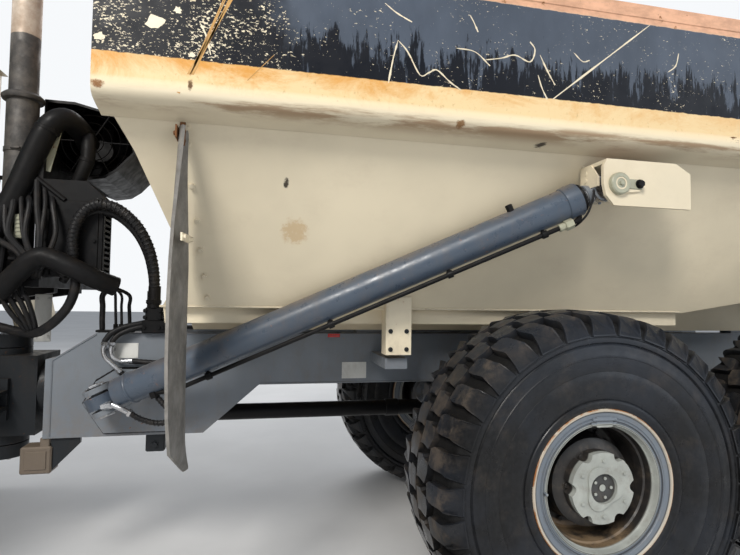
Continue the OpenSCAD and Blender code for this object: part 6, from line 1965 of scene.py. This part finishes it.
class TRUCK_OT_finishes(bpy.types.Operator):
    """Worn paint, rubber, steel and glass on the pieces of the frame"""

    bl_idname = "truck.finishes"
    bl_label = "Finishes of the Frame"

    def execute(self, context):
        dress(["dump_body"], "body")
        dress(["body_guides"], "white")
        dress(["mud_flaps"], "flap")
        dress(["rear_frame", "bogie_axles", "front_axle"], "grey")
        # the hitch and the front frame get the darker grey: painted shade, with grease
        dress(["hitch", "front_frame"], "greasy")
        for side in SIDES:
            dress([f"hoist_barrel_{side}", f"steer_barrel_{side}"], "cylinder")
            dress([f"hoist_sleeve_{side}", f"hoist_rod_{side}", f"steer_rod_{side}"], "steel")
            for station in STATIONS:
                dress([f"tyre_{station}_{side}"], "rubber")
                dress([f"wheel_{station}_{side}"], "rim")
        dress(["cab_shell", "cab_door", "hood", "fenders"], "cream")
        dress(["cab_glass", "door_glass"], "glass")
        dress(["cab_interior"], "trim")
        dress(["driveshafts", "engine_block", "bumper", "hood_grille", "rear_deck", "steps_rails"], "black")
        dress(["exhaust_stack"], "exhaust")
        dress(["headlamps"], "trim")
        for name in frame["nodes"]:
            smooth_node(name)
        return {"FINISHED"}


def make_floor():
    mesh = bmesh.new()
    bmesh.ops.create_grid(mesh, x_segments=4, y_segments=4, size=60)
    data = bpy.data.meshes.new("floor")
    mesh.to_mesh(data)
    mesh.free()
    floor = bpy.data.objects.new("floor", data)
    bpy.context.scene.collection.objects.link(floor)
    m = Finish("pale_floor")
    m.base = m.mix(m.blots(0.3, 0.7, 0.6, 5, 0.6), (0.6, 0.6, 0.6), (0.66, 0.66, 0.66))
    m.close(0.85)
    # the floor glows a little where something glossy mirrors it
    seen = m.times(m.add("ShaderNodeLightPath").outputs["Is Glossy Ray"], 0.25)
    glow = m.add("ShaderNodeEmission", {"Color": (1, 1, 1)}).outputs["Emission"]
    m.blend(seen, m.shader.outputs["BSDF"], glow, "Material Output")
    data.materials.append(m.material)


def make_sky():
    """Soft bluish light all round, behind a paler backdrop that only the camera sees"""
    world = bpy.data.worlds.new("studio")
    bpy.context.scene.world = world
    sky = Nodes(world)
    around = sky.tree.nodes["Background"]
    sky.fill(around, {"Color": (0.86, 0.92, 1.0), "Strength": 0.46})
    backdrop = sky.add("ShaderNodeBackground", {"Color": (0.93, 0.95, 0.97), "Strength": 1.0})
    rays = sky.add("ShaderNodeLightPath").outputs
    seen = sky.math("MAXIMUM", rays["Is Camera Ray"], rays["Is Transmission Ray"])
    sky.blend(seen, around.outputs[0], backdrop.outputs[0], "World Output")


def make_lamps():
    lamps = (("key", (5.5, 11.0, 10.0), (-0.5, 0.8, 1.4), 4.2, 1850, (1.0, 0.965, 0.91)),
        ("fill", (-9.0, 9.0, 5.0), (-1.0, 0.0, 1.4), 8.0, 300, (0.9, 0.95, 1.0)),
        ("back", (-2.0, -11.0, 9.0), (0.0, 0.0, 1.6), 8.0, 700, (1.0, 1.0, 1.0)),
        ("front", (13.0, -3.0, 8.0), (2.0, 0.0, 1.6), 6.0, 450, (1.0, 0.98, 0.95)))
    for name, place, target, size, power, colour in lamps:
        light = bpy.data.lights.new(name, "AREA")
        light.size = size
        light.energy = power
        light.color = colour
        lamp = bpy.data.objects.new(name, light)
        lamp.matrix_world = Matrix.Translation(place) @ (Vector(target) - Vector(place)).to_track_quat("-Z",
            "Y").to_matrix().to_4x4()
        bpy.context.scene.collection.objects.link(lamp)


def make_camera():
    data = bpy.data.cameras.new("camera")
    data.sensor_width = 36
    data.lens = 24.97
    camera = bpy.data.objects.new("camera", data)
    yaw, pitch, roll = math.radians(12.23), math.radians(2.5), math.radians(0.87)
    ahead = Vector((-math.sin(yaw) * math.cos(pitch), -math.cos(yaw) * math.cos(pitch), math.sin(pitch)))
    right = Vector((-math.cos(yaw), math.sin(yaw), 0))
    up = right.cross(ahead)
    across = right * math.cos(roll) + up * math.sin(roll)
    above = up * math.cos(roll) - right * math.sin(roll)
    place = Matrix((across, above, -ahead)).transposed().to_4x4()
    place.translation = at(1.682, 3.84, 1.785)
    camera.matrix_world = place
    bpy.context.scene.collection.objects.link(camera)
    bpy.context.scene.camera = camera


class TRUCK_OT_stage(bpy.types.Operator):
    """Pale floor, soft lamps and the camera at the photograph's angle"""

    bl_idname = "truck.stage"
    bl_label = "Stage and Camera"

    def execute(self, context):
        make_floor()
        make_sky()
        make_lamps()
        make_camera()
        context.scene.view_settings.view_transform = "Standard"
        return {"FINISHED"}


OPERATORS = (("finishes", TRUCK_OT_finishes), ("tyres", TRUCK_OT_tyres), ("wheels", TRUCK_OT_wheels),
    ("hoists", TRUCK_OT_hoists), ("rear_frame", TRUCK_OT_rear_frame), ("body", TRUCK_OT_body),
    ("tractor_back", TRUCK_OT_tractor_back), ("cab", TRUCK_OT_cab), ("front", TRUCK_OT_front),
    ("stage", TRUCK_OT_stage))


class TRUCK_PT_panel(bpy.types.Panel):
    """Sizes, colours and the buttons that make the pieces"""

    bl_idname = "TRUCK_PT_panel"
    bl_label = "Dump Truck"
    bl_space_type = "VIEW_3D"
    bl_region_type = "UI"
    bl_category = "Dump Truck"

    def draw(self, context):
        layout = self.layout
        for group in (colours(), tyre_sizes(), fittings()):
            box = layout.box()
            for key in group.bl_rna.properties.keys():
                if key not in ("rna_type", "name"):
                    box.prop(group, key)
        for _, operator in OPERATORS:
            layout.operator(operator.bl_idname)


GROUPS = (("truck_colours", TruckColours), ("truck_tyres", TyreSizes), ("truck_fittings", FittingSizes))
CLASSES = (*(group for _, group in GROUPS), *(operator for _, operator in OPERATORS), TRUCK_PT_panel)


def register():
    for cls in CLASSES:
        bpy.utils.register_class(cls)
    for key, group in GROUPS:
        setattr(bpy.types.Scene, key, PointerProperty(type=group))


def unregister():
    for key, _ in GROUPS:
        delattr(bpy.types.Scene, key)
    for cls in reversed(CLASSES):
        bpy.utils.unregister_class(cls)


def main():
    register()
    materials.update(make_materials())
    for _, operator in OPERATORS:
        group, action = operator.bl_idname.split(".")
        getattr(getattr(bpy.ops, group), action)()


if __name__ == "__main__":
    main()
